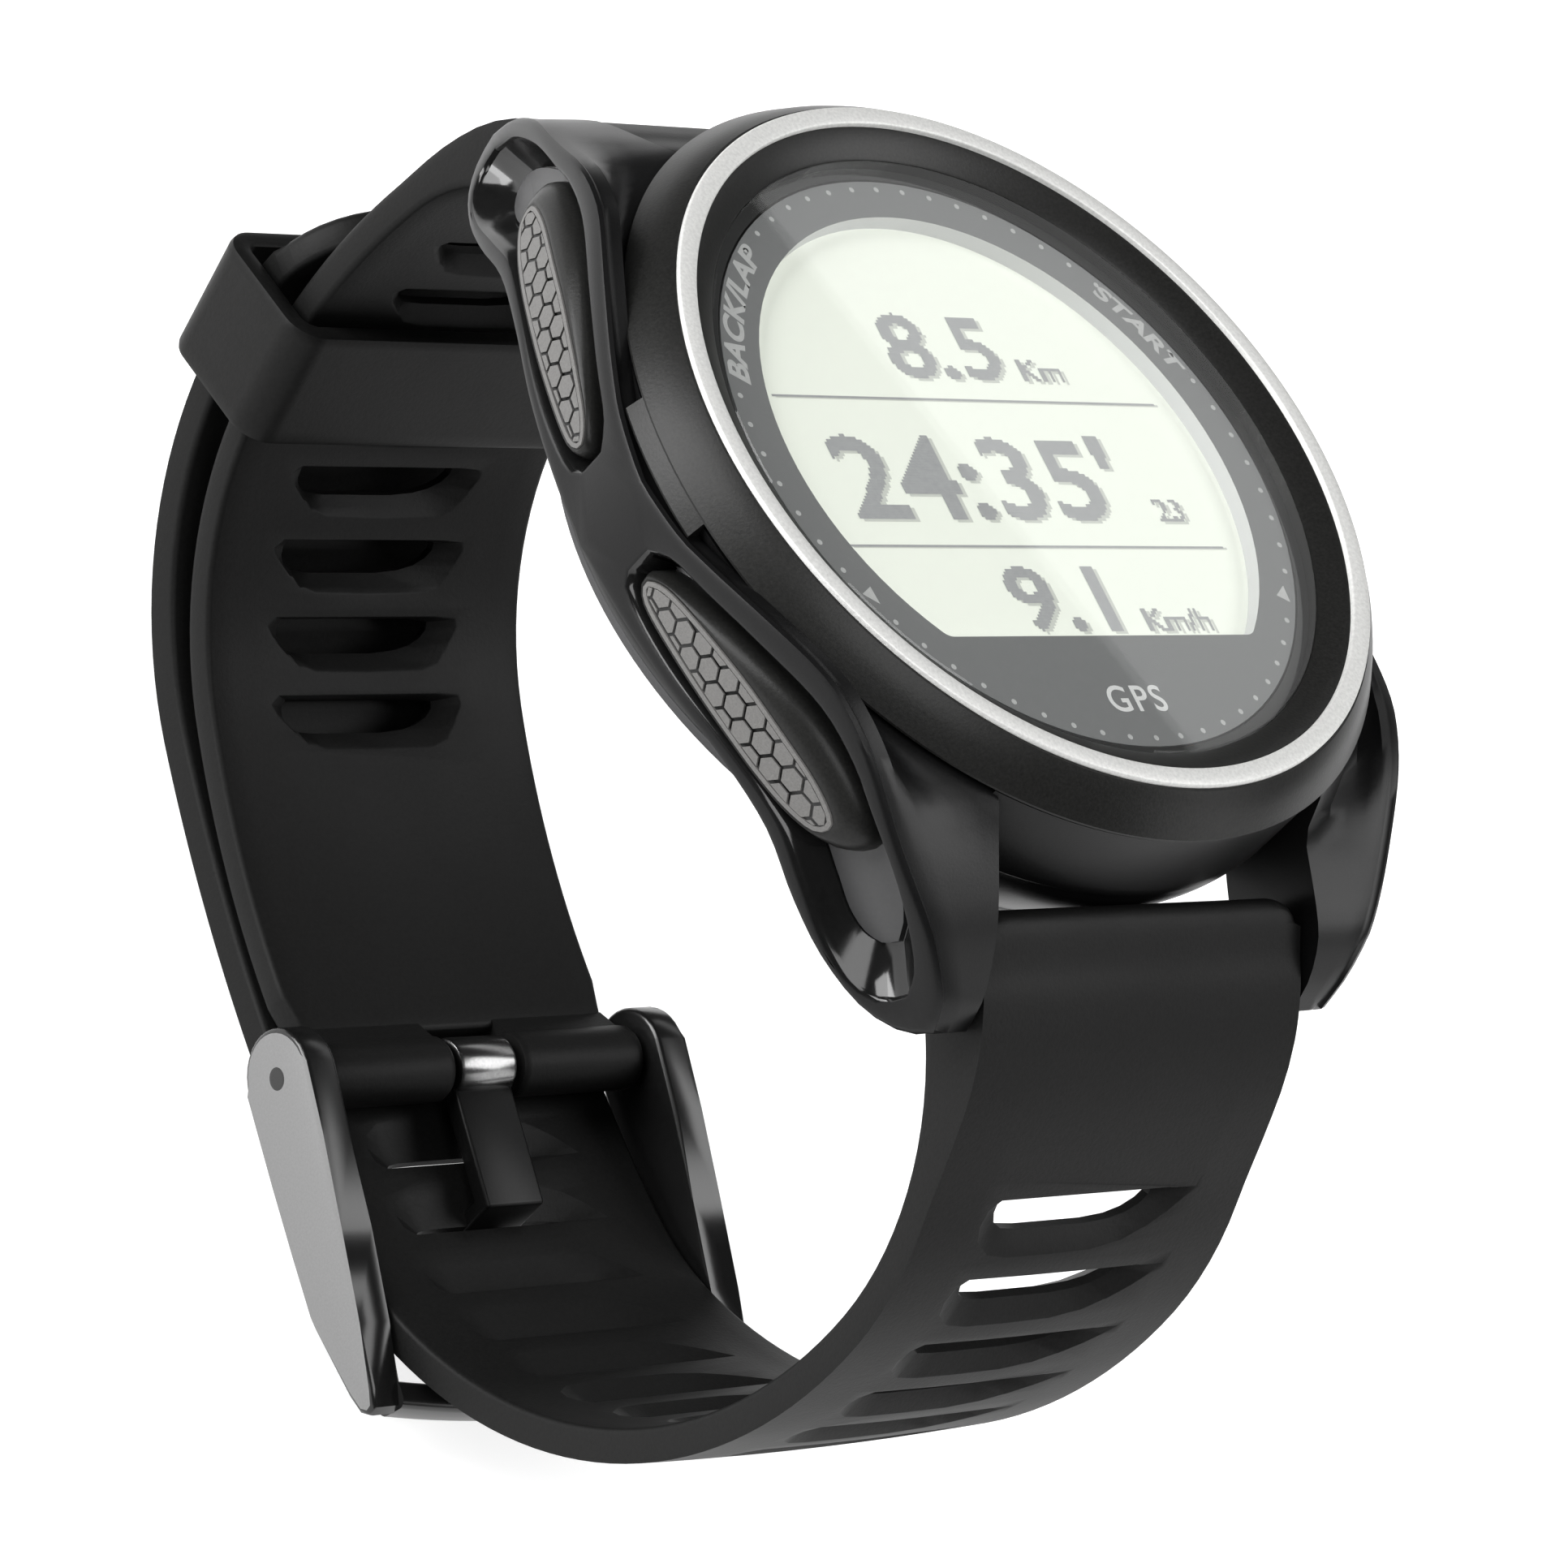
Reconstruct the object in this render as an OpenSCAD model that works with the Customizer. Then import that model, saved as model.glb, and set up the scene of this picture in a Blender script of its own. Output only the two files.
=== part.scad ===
// GPS running watch, buckled, as it lies on a wrist.
// Origin: centre of the case back. +Z out of the dial, +Y to 12 o'clock, +X to 3 o'clock.

/* [Case] */
// Thickness from the case back to the top of the ring
case_t = 13; // [12:0.5:16]
// Width across the side rails at 3 and 9 o'clock
case_w = 46; // [45:0.5:50]
// Length from lug tip to lug tip
lug_span = 54; // [51:0.5:60]
// Radius of the arc that each side rail follows, seen from above
rail_arc_r = 44; // [38:1:60]
// Depth of the window in a side rail
rail_depth = 2.2; // [1.8:0.1:2.6]
// Wall between the case cavity and the outside
case_wall = 2; // [1.6:0.1:2.4]
// Thickness of the rear cover
cover_t = 1.2; // [1:0.1:1.6]

/* [Bezel and dial] */
// Diameter of the bezel where it meets the case
bezel_d = 44.8; // [43:0.2:48]
// Outer diameter of the inlaid metal ring
ring_d = 41.4; // [40:0.2:42.4]
// Width of the inlaid ring's face
ring_w = 1.07; // [0.8:0.05:1.4]
// Diameter of the lens
lens_d = 36.24; // [34:0.2:37]
// Thickness of the lens
lens_t = 0.7; // [0.5:0.1:1]
// Depth of the lens below the ring
lens_drop = 1; // [0.6:0.1:1.4]
// Radius of the display opening in the mask
view_r = 15; // [13:0.1:15.5]
// Distance from the centre to the flat lower edge of the display opening
view_flat = 10.7; // [9:0.1:12]

/* [Buttons] */
// Distance of a button from the 3 to 9 o'clock line
button_y = 11.2; // [10:0.1:12]
// Length of a button cap
button_len = 15.6; // [13:0.2:16]
// Height of a button cap
button_h = 4.3; // [3.6:0.1:4.6]
// Height of the button centre above the case back
button_z = 7; // [6.6:0.1:7.4]
// Travel of a button
button_travel = 0.5; // [0.3:0.05:0.6]
// Radius of a button stem
stem_r = 0.8; // [0.6:0.05:1]

/* [Strap] */
// Width of the strap
strap_w = 22; // [18:1:24]
// Thickness of the strap
strap_t = 2; // [1.6:0.1:2.6]
// Gap between the two layers of strap at the buckle
layer_gap = 0.35; // [0.3:0.05:0.6]
// Distance from one strap slot to the next
slot_pitch = 4.12; // [3.8:0.02:5]
// Length of a slot across the strap
slot_w = 12; // [9:0.5:14]
// Radius of a spring bar's tube
bar_r = 0.75; // [0.6:0.05:0.9]
// Distance from a lug tip to the spring bar
bar_inset = 2.6; // [2.2:0.1:3]

/* [Buckle and keeper] */
// Thickness of a buckle side plate
plate_t = 2; // [1.4:0.1:2.4]
// Radius of the buckle's cross bar
cross_r = 1.1; // [0.8:0.1:1.4]
// Width of the tongue
tongue_w = 4; // [3:0.5:5]
// Thickness of the tongue
tongue_t = 0.9; // [0.7:0.1:1.1]
// Length of the keeper along the strap
keeper_len = 7.3; // [5:0.1:9]
// Wall of the keeper
keeper_t = 1.2; // [1:0.1:2]

/* [Hidden] */
$fn = 64;
fit = 0.05;             // radial clearance of a shaft in its bore
play = 0.3;             // gap between pieces that move past each other
bezel_seat_z = case_t - 2.4;
rail_x = case_w / 2 - rail_arc_r;        // centre of the rail arc, for the side at +X
floor_r = rail_arc_r - rail_depth;       // arc that the window floors follow
case_r = bezel_d / 2 - 1;
cavity_r = case_r - case_wall;
half_span = lug_span / 2;
lug_x = strap_w / 2 + play;
bar_y = half_span - bar_inset;
bar_z = 1.9;
knuckle_r = 2.4;

// Dial stack, from the top down
lens_z = case_t - lens_drop;
ledge_z = lens_z - lens_t - 0.2;
mask_t = 0.1;
display_r = view_r + 1.2;
display_z = ledge_z + 0.1;
display_t = 1.3;
backlight_t = 0.8;
bezel_bore = lens_d / 2 - 0.8;
spigot_z = ledge_z - 1.7;

// Inside the case, from the back up
battery_z = cover_t + 0.7;
battery_t = 2.5;
board_z = battery_z + battery_t + 0.2;
board_t = 0.8;
board_top = board_z + board_t;
board_r = cavity_r - 0.7;
boss_at = 17.3;
boss_r = 1.7;
screw_r = 0.7;
chassis_z = board_top + 3;
chassis_t = 0.6;
switch_h = 2 * (button_z - board_top) - 0.8;
antenna_r = cavity_r - 0.4;

// Button stack, along X from the middle of the case outwards
pad_t = 0.7;
pocket_x = 18.1;
cap_back = pocket_x + button_travel + 0.1;
stem_end = 14.1;
switch_x = stem_end - button_travel - 0.1;
seal_x = 15.9;
spring_seat = 16.8;

// Strap curves, as runs of [radius, turn in degrees] on the wrist side
long_arcs = [[14.65, 55], [25.65, 72], [13.65, 22], [91.65, 18], [18.35, 88]];
short_arcs = [[10, -49], [38, -24.5], [19, -54], [53, -19.5]];
loop_y = 24.9;          // where both curves start, as on the real strap
loop_z = -0.7;
layer = strap_t + layer_gap;
long_start = [-loop_y, loop_z] + (layer - 2.35) * [-0.5, 0.866];
short_start = [loop_y, loop_z];
slot_len = 3.1;
slot_through = 2;
long_slots = 22;
short_slots = 9;
tongue_slot = 12;       // slot of the long strap that the tongue sits in, counted from 0
long_slot_s = 8.06;
short_slot_s = 7.6;

// ---- curves in the plane of Y and Z; a station is [y, z, heading] ----

function arc_at(p, r, turn) =
    let (side = sign(turn) * r, c = p + side * [-sin(p[2]), cos(p[2]), 0])
    [c[0] + side * sin(p[2] + turn), c[1] - side * cos(p[2] + turn), p[2] + turn];

function arc_len(run) = run[0] * abs(run[1]) * PI / 180;

// Station at a distance s along a chain of arcs
function station(p, arcs, s, i = 0) =
    i == len(arcs) ? p
    : s <= arc_len(arcs[i]) ? arc_at(p, arcs[i][0], arcs[i][1] * s / arc_len(arcs[i]))
    : station(arc_at(p, arcs[i][0], arcs[i][1]), arcs, s - arc_len(arcs[i]), i + 1);

function chain_len(arcs, i = 0) = i == len(arcs) ? 0 : arc_len(arcs[i]) + chain_len(arcs, i + 1);

function beside(p, d) = [p[0] - d * sin(p[2]), p[1] + d * cos(p[2])];
function ahead(p, d) = [p[0] + d * cos(p[2]), p[1] + d * sin(p[2])];

// The long strap lies outside the short one, so its radii grow by one layer
long_run = [for (a = long_arcs) [a[0] + layer, a[1]]];
function long_at(s) = station([long_start[0], long_start[1], 210], long_run, s);
function short_at(s) = station([short_start[0], short_start[1], -30], short_arcs, s);

long_len = chain_len(long_run);
short_len = chain_len(short_arcs);
short_end = short_at(short_len);

// Buckle pin: its tube ends the short strap, flush with the strap's outer face
tube_r = bar_r + 1.05;
tube_c = beside(short_end, strap_t - tube_r) + 2.6 * [cos(short_end[2]), sin(short_end[2])];
pin_y = tube_c[0];
pin_z = tube_c[1];
tongue_s = long_slot_s + tongue_slot * slot_pitch;
cross_at = long_at(tongue_s - 7.6);
cross_c = beside(cross_at, -(strap_t + cross_r + 0.55));

// Keeper: a loop around both layers
keeper_at = short_at(22.6);
keeper_inside = 2 * strap_t + 2.7;
keeper_tilt = keeper_at[2] - 3;
keeper_c = beside(keeper_at, strap_t + 0.55);

// ---- helpers ----

// Extrudes a shape drawn in Y and Z along X, centred
module across(w) {
    rotate([90, 0, 90]) linear_extrude(w, center = true) children();
}

module along_x(x0, x1, r) {
    translate([x0, 0, 0]) rotate([0, 90, 0]) cylinder(h = x1 - x0, r = r);
}

module ring_at(z, h, r_in, r_out) {
    translate([0, 0, z]) difference() {
        cylinder(h = h, r = r_out, $fn = 128);
        translate([0, 0, -1]) cylinder(h = h + 2, r = r_in, $fn = 128);
    }
}

module rounded_rect(w, h, r) {
    square([w - 2 * r, h], center = true);
    square([w, h - 2 * r], center = true);
    for (x = [-1, 1], y = [-1, 1])
        translate([x * (w / 2 - r), y * (h / 2 - r)]) circle(r, $fn = 32);
}

// Places a shape at a button: 2 and 4 o'clock at +X, 8 and 10 o'clock at -X
module at_button(hour) {
    mirror([hour > 6 ? 1 : 0, 0, 0])
        mirror([0, hour > 3 && hour < 9 ? 1 : 0, 0])
            translate([0, button_y, button_z]) children();
}

// ---- case ----

// Outline of a side rail, seen from the side, from 6 to 12 o'clock
rail_top = case_t - 0.8;
rail_half = [[0, case_t - 4], [4, case_t - 3.3], [9.5, case_t - 1.6], [14, rail_top],
    [17.5, case_t - 1.9], [half_span - 3, 6.6], [half_span - 0.6, 3.8], [half_span, 1.8],
    [half_span - 1.4, 0.4], [half_span - 5, 0.8], [17.5, 3.3], [12.5, 4.2], [0, 3.6]];
window_half = [[2.9, 7.3], [2.9, 5.6], [4, 5], [7.5, 4.85], [13.1, 5], [16.4, 4.7], [18.8, 3.4],
    [half_span - 5.7, 1.7], [half_span - 3.5, 1], [half_span - 2.2, 1.3], [half_span - 1.8, 2.4],
    [half_span - 3.1, 5.1], [half_span - 5.3, 7.2], [19.2, case_t - 4.2], [16.8, case_t - 2.8],
    [14, case_t - 2.4], [10, case_t - 3.1], [6.5, case_t - 4], [4.2, case_t - 4.6]];

function flipped(points) = [for (p = points) [-p[0], p[1]]];

// Outline of a button cap about its centre, grown by g all round
function cap_outline(g) = let (a = button_len / 2 + g, h = button_h / 2 + g) [
    [-a, -h + 1], [-a + 1, -h], [a - 2, -h], [a, -h + 1.6], [a, h - 1.8], [a - 1.8, h],
    [a - 6, h + 0.3], [-a + 4, h - 0.5], [-a, h - 1.6]];

module rail_outline() {
    polygon(rail_half);
    polygon(flipped(rail_half));
}

// Space between two arcs about the rail's centre, at +X
module arc_band(r_in, r_out) {
    translate([rail_x, 0]) difference() {
        circle(r_out, $fn = 256);
        circle(r_in, $fn = 256);
    }
}

module side_wall() {
    intersection() {
        linear_extrude(case_t) intersection() {
            arc_band(floor_r, rail_arc_r);
            translate([lug_x, -half_span]) square([case_w, lug_span]);
        }
        across(2 * case_w) difference() {
            rail_outline();
            polygon(window_half);
            polygon(flipped(window_half));
        }
    }
    intersection() {
        linear_extrude(case_t - 3.4) difference() {
            intersection() {
                translate([rail_x, 0]) circle(floor_r + 0.01, $fn = 256);
                translate([lug_x, -half_span]) square([case_w, lug_span]);
            }
            circle(case_r - 1.05, $fn = 128);
        }
        across(2 * case_w) translate([0, -0.7]) rail_outline();
    }
}

module screw_places() {
    for (a = [45:90:315]) rotate([0, 0, a]) translate([boss_at, 0, 0]) children();
}

// Each boss is tied to the case wall by a rib
module case_bosses() {
    intersection() {
        translate([0, 0, cover_t]) cylinder(h = board_z - cover_t, r = cavity_r + 0.2, $fn = 128);
        screw_places() {
            cylinder(h = board_z, r = boss_r, $fn = 32);
            translate([0, -1, 0]) cube([6, 2, board_z]);
        }
    }
}

module mid_case() {
    color([0.09, 0.09, 0.1])
    difference() {
        union() {
            difference() {
                rotate_extrude($fn = 128) polygon([
                    [cavity_r, cover_t], [case_r - 1, cover_t], [case_r - 0.1, cover_t + 1.4],
                    [case_r, 5.5], [case_r + 0.3, 8.2], [bezel_d / 2, bezel_seat_z],
                    [cavity_r, bezel_seat_z]]);
                ring_at(bezel_seat_z - 0.3, 1, cavity_r + 0.5, cavity_r + 1.1);
                ring_at(cover_t - 0.6, 1, cavity_r + 0.35, cavity_r + 0.85);
            }
            side_wall();
            mirror([1, 0, 0]) side_wall();
            case_bosses();
        }
        // Room for the bezel's skirt
        rotate_extrude($fn = 128) polygon([[0, bezel_seat_z], [bezel_d / 2 + 0.15, bezel_seat_z],
            [ring_d / 2 + 0.15, case_t], [0, case_t]]);
        screw_places() cylinder(h = board_z - 0.4, r = screw_r, $fn = 32);
        for (hour = [2, 4, 8, 10]) at_button(hour) {
            translate([pocket_x + 5, 0, 0]) across(10) polygon(cap_outline(0.15));
            along_x(spring_seat, pocket_x + 1, stem_r + 0.9);
            along_x(cavity_r - 8, spring_seat + 1, stem_r + fit);
        }
        for (y = [-1, 1]) translate([0, y * bar_y, bar_z])
            along_x(-lug_x - 1.3, lug_x + 1.3, bar_r * 0.6 + fit);
    }
}

// ---- bezel and dial ----

module bezel() {
    slope_z = case_t - 0.25;
    color([0.07, 0.07, 0.075])
    rotate_extrude($fn = 128) polygon([
        [bezel_bore, spigot_z], [bezel_bore, ledge_z], [lens_d / 2 + fit, ledge_z],
        [lens_d / 2 + fit, lens_z], [ring_d / 2 - ring_w, slope_z],
        [ring_d / 2 - ring_w, case_t - 0.6], [ring_d / 2, case_t - 0.6], [ring_d / 2, slope_z],
        [bezel_d / 2, bezel_seat_z], [cavity_r - fit, bezel_seat_z], [cavity_r - fit, spigot_z]]);
}

module bezel_ring() {
    color([0.82, 0.82, 0.83])
    rotate_extrude($fn = 128) polygon([
        [ring_d / 2 - ring_w, case_t - 0.6], [ring_d / 2, case_t - 0.6],
        [ring_d / 2, case_t - 0.08], [ring_d / 2 - 0.08, case_t],
        [ring_d / 2 - ring_w + 0.08, case_t], [ring_d / 2 - ring_w, case_t - 0.08]]);
}

module lens() {
    color([0.6, 0.65, 0.68, 0.35])
    translate([0, 0, lens_z - lens_t]) cylinder(h = lens_t, r = lens_d / 2, $fn = 128);
}

module lens_gasket() {
    color([0.05, 0.05, 0.05])
    ring_at(ledge_z, lens_z - lens_t - ledge_z, bezel_bore + 0.05, lens_d / 2 - 0.05);
}

module view_shape(r, flat) {
    intersection() {
        circle(r, $fn = 128);
        translate([-r, -flat]) square([2 * r, r + flat]);
    }
}

module dial_mask() {
    color([0.47, 0.48, 0.49])
    translate([0, 0, lens_z - lens_t - mask_t]) linear_extrude(mask_t) difference() {
        circle(bezel_bore - 0.05, $fn = 128);
        view_shape(view_r, view_flat);
    }
}

module display() {
    color([0.78, 0.8, 0.76])
    translate([0, 0, display_z - display_t])
        linear_extrude(display_t) view_shape(display_r, view_flat + 1.5);
}

module backlight() {
    color([0.85, 0.86, 0.88])
    translate([0, 0, display_z - display_t - backlight_t])
        linear_extrude(backlight_t) view_shape(display_r, view_flat + 1.5);
}

module display_flex() {
    y0 = -view_flat - 1.5;
    leg = y0 - 4.1;
    z1 = display_z - 0.9;
    color([0.75, 0.45, 0.15])
    across(8) polygon([[leg, board_top], [leg + 0.15, board_top], [leg + 0.15, z1],
        [y0, z1], [y0, z1 + 0.15], [leg, z1 + 0.15]]);
}

// ---- inside the case ----

module chassis() {
    color([0.2, 0.2, 0.22])
    translate([0, 0, chassis_z]) linear_extrude(chassis_t) difference() {
        circle(cavity_r - 0.15, $fn = 128);
        circle(9, $fn = 64);
        translate([-5, -view_flat - 6.5]) square([10, 3]);
    }
}

module gps_antenna() {
    color([0.8, 0.6, 0.25])
    translate([0, 0, chassis_z + chassis_t])
        rotate([0, 0, -20]) rotate_extrude(angle = 220, $fn = 128)
            translate([bezel_bore + 0.2, 0]) square([antenna_r - bezel_bore - 0.2, 0.3]);
}

module main_board() {
    color([0.05, 0.3, 0.15])
    translate([0, 0, board_z]) cylinder(h = board_t, r = board_r, $fn = 128);
}

module shield_can() {
    color([0.7, 0.7, 0.72])
    translate([-7, -4, board_top]) cube([10, 10, 1.6]);
}

module vibration_motor() {
    color([0.65, 0.65, 0.67])
    translate([7.5, -3, board_top]) cylinder(h = 2.2, r = 3.6);
}

module battery() {
    color([0.3, 0.45, 0.7])
    translate([0, 0, battery_z + battery_t / 2]) cube([20, 25, battery_t], center = true);
}

module side_switches() {
    color([0.15, 0.15, 0.15])
    for (hour = [2, 4, 8, 10]) at_button(hour)
        translate([switch_x - 2.2, -1.8, board_top - button_z]) cube([2.2, 3.6, switch_h]);
}

module bezel_gasket() {
    color([0.04, 0.04, 0.04])
    ring_at(bezel_seat_z - 0.3, 0.3, cavity_r + 0.55, cavity_r + 1.05);
}

module back_gasket() {
    color([0.04, 0.04, 0.04])
    ring_at(cover_t, 0.4, cavity_r + 0.4, cavity_r + 0.8);
}

contact_y = -9;
contact_gap = 2.5;

module rear_cover() {
    color([0.12, 0.12, 0.13])
    difference() {
        rotate_extrude($fn = 128) polygon([
            [0, 0], [case_r - 2.4, 0], [case_r - 1.6, 0.35], [case_r - 1.1, cover_t], [0, cover_t]]);
        screw_places() {
            translate([0, 0, -1]) cylinder(h = cover_t + 2, r = screw_r + 0.1, $fn = 32);
            translate([0, 0, -1]) cylinder(h = 1.7, r = 1.5, $fn = 32);
        }
        for (i = [-1.5:1:1.5]) translate([i * contact_gap, contact_y, -1])
            cylinder(h = cover_t + 2, r = 0.75, $fn = 32);
    }
}

module back_screws() {
    color([0.6, 0.6, 0.6])
    screw_places() difference() {
        union() {
            translate([0, 0, 0.1]) cylinder(h = 0.6, r = 1.4, $fn = 32);
            translate([0, 0, 0.1]) cylinder(h = board_z - 0.8, r = screw_r - 0.02, $fn = 32);
        }
        translate([0, 0, -0.5]) cylinder(h = 1, r = 0.6, $fn = 6);
    }
}

module charge_contacts() {
    color([0.85, 0.68, 0.3])
    for (i = [-1.5:1:1.5]) translate([i * contact_gap, contact_y, 0]) {
        cylinder(h = cover_t, r = 0.75, $fn = 32);
        translate([0, 0, cover_t]) cylinder(h = 0.4, r = 1.05, $fn = 32);
    }
}

// ---- buttons ----

// Space between two arcs about the rail's centre, in a button's own place
module button_band(r_in, r_out) {
    translate([0, -button_y, -5]) linear_extrude(10) intersection() {
        arc_band(r_in, r_out);
        translate([0, 0]) square([case_w, lug_span]);
    }
}

module button_cap(hour) {
    color([0.1, 0.1, 0.11])
    at_button(hour) difference() {
        union() {
            intersection() {
                button_band(10, rail_arc_r - pad_t + 0.1);
                translate([cap_back + 5, 0, 0]) across(10) polygon(cap_outline(0));
            }
            along_x(stem_end, cap_back + 0.5, stem_r);
        }
        rotate([0, 90, 0]) rotate_extrude() translate([stem_r - 0.25, seal_x - 0.3])
            square([1, 0.6]);
        rotate([0, 90, 0]) rotate_extrude() translate([stem_r - 0.25, stem_end + 0.2])
            square([1, 0.3]);
    }
}

module button_pad(hour) {
    color([0.42, 0.42, 0.42])
    at_button(hour) intersection() {
        button_band(rail_arc_r - pad_t + 0.1, rail_arc_r);
        across(100) translate([0.1, -0.3]) rounded_rect(button_len - 2.2, button_h - 1.5, 1);
    }
}

module button_seal(hour) {
    color([0.03, 0.03, 0.03])
    at_button(hour) rotate([0, 90, 0]) rotate_extrude()
        translate([stem_r - 0.25, seal_x - 0.3]) square([0.25 + fit - 0.01, 0.6]);
}

module button_clip(hour) {
    color([0.7, 0.7, 0.72])
    at_button(hour) rotate([0, 90, 0]) rotate_extrude()
        translate([stem_r - 0.25, stem_end + 0.2]) square([0.7, 0.3]);
}

// Wire of a return spring: rings of points around a helix about X
spring_turns = 2.5;
spring_wire = 0.16;
spring_sides = 6;
spring_steps = 30;
module button_spring(hour) {
    r = stem_r + 0.45;
    x0 = spring_seat + spring_wire;
    x1 = cap_back - spring_wire;
    points = [for (i = [0:spring_steps], k = [0:spring_sides - 1])
        let (turn = 360 * spring_turns * i / spring_steps, a = 360 * k / spring_sides,
            d = r + spring_wire * cos(a))
        [x0 + (x1 - x0) * i / spring_steps + spring_wire * sin(a), d * cos(turn), d * sin(turn)]];
    sides = [for (i = [0:spring_steps - 1], k = [0:spring_sides - 1])
        let (n = (k + 1) % spring_sides, b = i * spring_sides)
        [b + k, b + n, b + spring_sides + n, b + spring_sides + k]];
    ends = [[for (k = [spring_sides - 1:-1:0]) k],
        [for (k = [0:spring_sides - 1]) spring_steps * spring_sides + k]];
    color([0.75, 0.75, 0.77])
    at_button(hour) polyhedron(points, concat(sides, ends));
}

// ---- strap ----

// A spring bar: a tube with a thinner pin at each end
module spring_bar(w, reach) {
    color([0.72, 0.72, 0.74]) {
        along_x(-w / 2, w / 2, bar_r);
        along_x(-w / 2 - reach, w / 2 + reach, bar_r * 0.6);
    }
}

module spring_bar_12() {
    translate([0, bar_y, bar_z]) spring_bar(strap_w, 1.2 + play);
}

module spring_bar_6() {
    translate([0, -bar_y, bar_z]) spring_bar(strap_w, 1.2 + play);
}

// Thickness near the lug, easing to strap_t
function lug_extra(s) = 1.4 * max(0, 1 - s / 6) * max(0, 1 - s / 6);

function strap_shape(inner, outer, eye) = concat([eye], inner, [for (i = [len(outer) - 1:-1:0]) outer[i]]);

// A slot seen from the strap's edge: a square wall and a sloping one
module slot_cut(p, side) {
    translate([0, p[0], p[1]]) rotate([p[2], 0, 0]) across(slot_w)
        polygon([[0, -side], [slot_len, -side], [slot_len, 0], [slot_through, side * strap_t * 0.4],
            [slot_through, side * strap_t * 0.6], [slot_len, side * strap_t],
            [slot_len, side * (strap_t + 1)], [0, side * (strap_t + 1)]]);
}

curve_step = 1.5;

module strap_long() {
    n = ceil(long_len / curve_step);
    stations = [for (i = [0:n]) long_at(long_len * i / n)];
    inner = [for (p = stations) beside(p, 0)];
    outer = [for (i = [0:n]) beside(stations[i], -strap_t - lug_extra(long_len * i / n))];
    tip = beside(long_at(long_len), -strap_t / 2);
    color([0.1, 0.1, 0.1])
    difference() {
        union() {
            across(strap_w) polygon(strap_shape(inner, outer, [-bar_y, bar_z]));
            translate([0, -bar_y, bar_z]) along_x(-strap_w / 2, strap_w / 2, knuckle_r);
            translate([0, tip[0], tip[1]]) along_x(-strap_w / 2, strap_w / 2, strap_t / 2);
        }
        translate([0, -bar_y, bar_z]) along_x(-case_w, case_w, bar_r + fit);
        for (i = [0:long_slots - 1]) slot_cut(long_at(long_slot_s + i * slot_pitch), -1);
    }
}

module strap_short() {
    n = ceil(short_len / curve_step);
    stations = [for (i = [0:n]) short_at(short_len * i / n)];
    inner = [for (p = stations) beside(p, 0)];
    outer = [for (i = [0:n]) beside(stations[i], strap_t + lug_extra(short_len * i / n))];
    color([0.1, 0.1, 0.1])
    difference() {
        union() {
            across(strap_w) polygon(strap_shape(inner, outer, [bar_y, bar_z]));
            across(strap_w) polygon([inner[n], outer[n], [pin_y, pin_z - tube_r], [pin_y, pin_z]]);
            translate([0, bar_y, bar_z]) along_x(-strap_w / 2, strap_w / 2, knuckle_r);
            translate([0, pin_y, pin_z]) along_x(-strap_w / 2, strap_w / 2, tube_r);
        }
        translate([0, bar_y, bar_z]) along_x(-case_w, case_w, bar_r + fit);
        translate([0, pin_y, pin_z]) along_x(-case_w, case_w, bar_r + fit);
        translate([0, pin_y, pin_z])
            cube([tongue_w + 2 * play, 2 * tube_r + 1.6, 4 * tube_r], center = true);
        for (i = [0:short_slots - 1]) slot_cut(short_at(short_slot_s + i * (slot_pitch + 0.13)), 1);
    }
}

// ---- buckle and keeper ----

module keeper() {
    color([0.07, 0.07, 0.07])
    translate([0, keeper_c[0], keeper_c[1]]) rotate([keeper_tilt - 90, 0, 0])
        linear_extrude(keeper_len, center = true) difference() {
            rounded_rect(strap_w + 0.8 + 2 * keeper_t, keeper_inside + 2 * keeper_t, 1.6);
            rounded_rect(strap_w + 0.8, keeper_inside, 0.6);
        }
}

frame_x = strap_w / 2 + play;

module buckle_frame() {
    eye_r = tube_r + 0.9;
    reach = [cross_c[0] - pin_y, cross_c[1] - pin_z];
    span = norm(reach);
    lean = atan2(-reach[1], -reach[0]);
    color([0.35, 0.35, 0.36])
    translate([0, pin_y, pin_z]) rotate([lean, 0, 0]) {
        difference() {
            for (x = [-1, 1]) translate([x * (frame_x + plate_t / 2), 0, 0]) {
                across(plate_t) polygon([[0, eye_r], [-span, cross_r], [-span - 0.8, 0.4],
                    [-span - 0.8, -0.6], [-span, -cross_r], [0, -eye_r]]);
                along_x(-plate_t / 2, plate_t / 2, eye_r);
            }
            along_x(-frame_x - 1.3, frame_x + 1.3, bar_r * 0.6 + 0.001);
        }
        translate([0, -span, 0]) across(2 * frame_x + 0.2) polygon([[0.5, cross_r],
            [-0.6, cross_r], [-0.8, -cross_r], [0.5, -cross_r]]);
    }
}

module buckle_pin() {
    translate([0, pin_y, pin_z]) spring_bar(strap_w, 1.2 + play);
}

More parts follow.
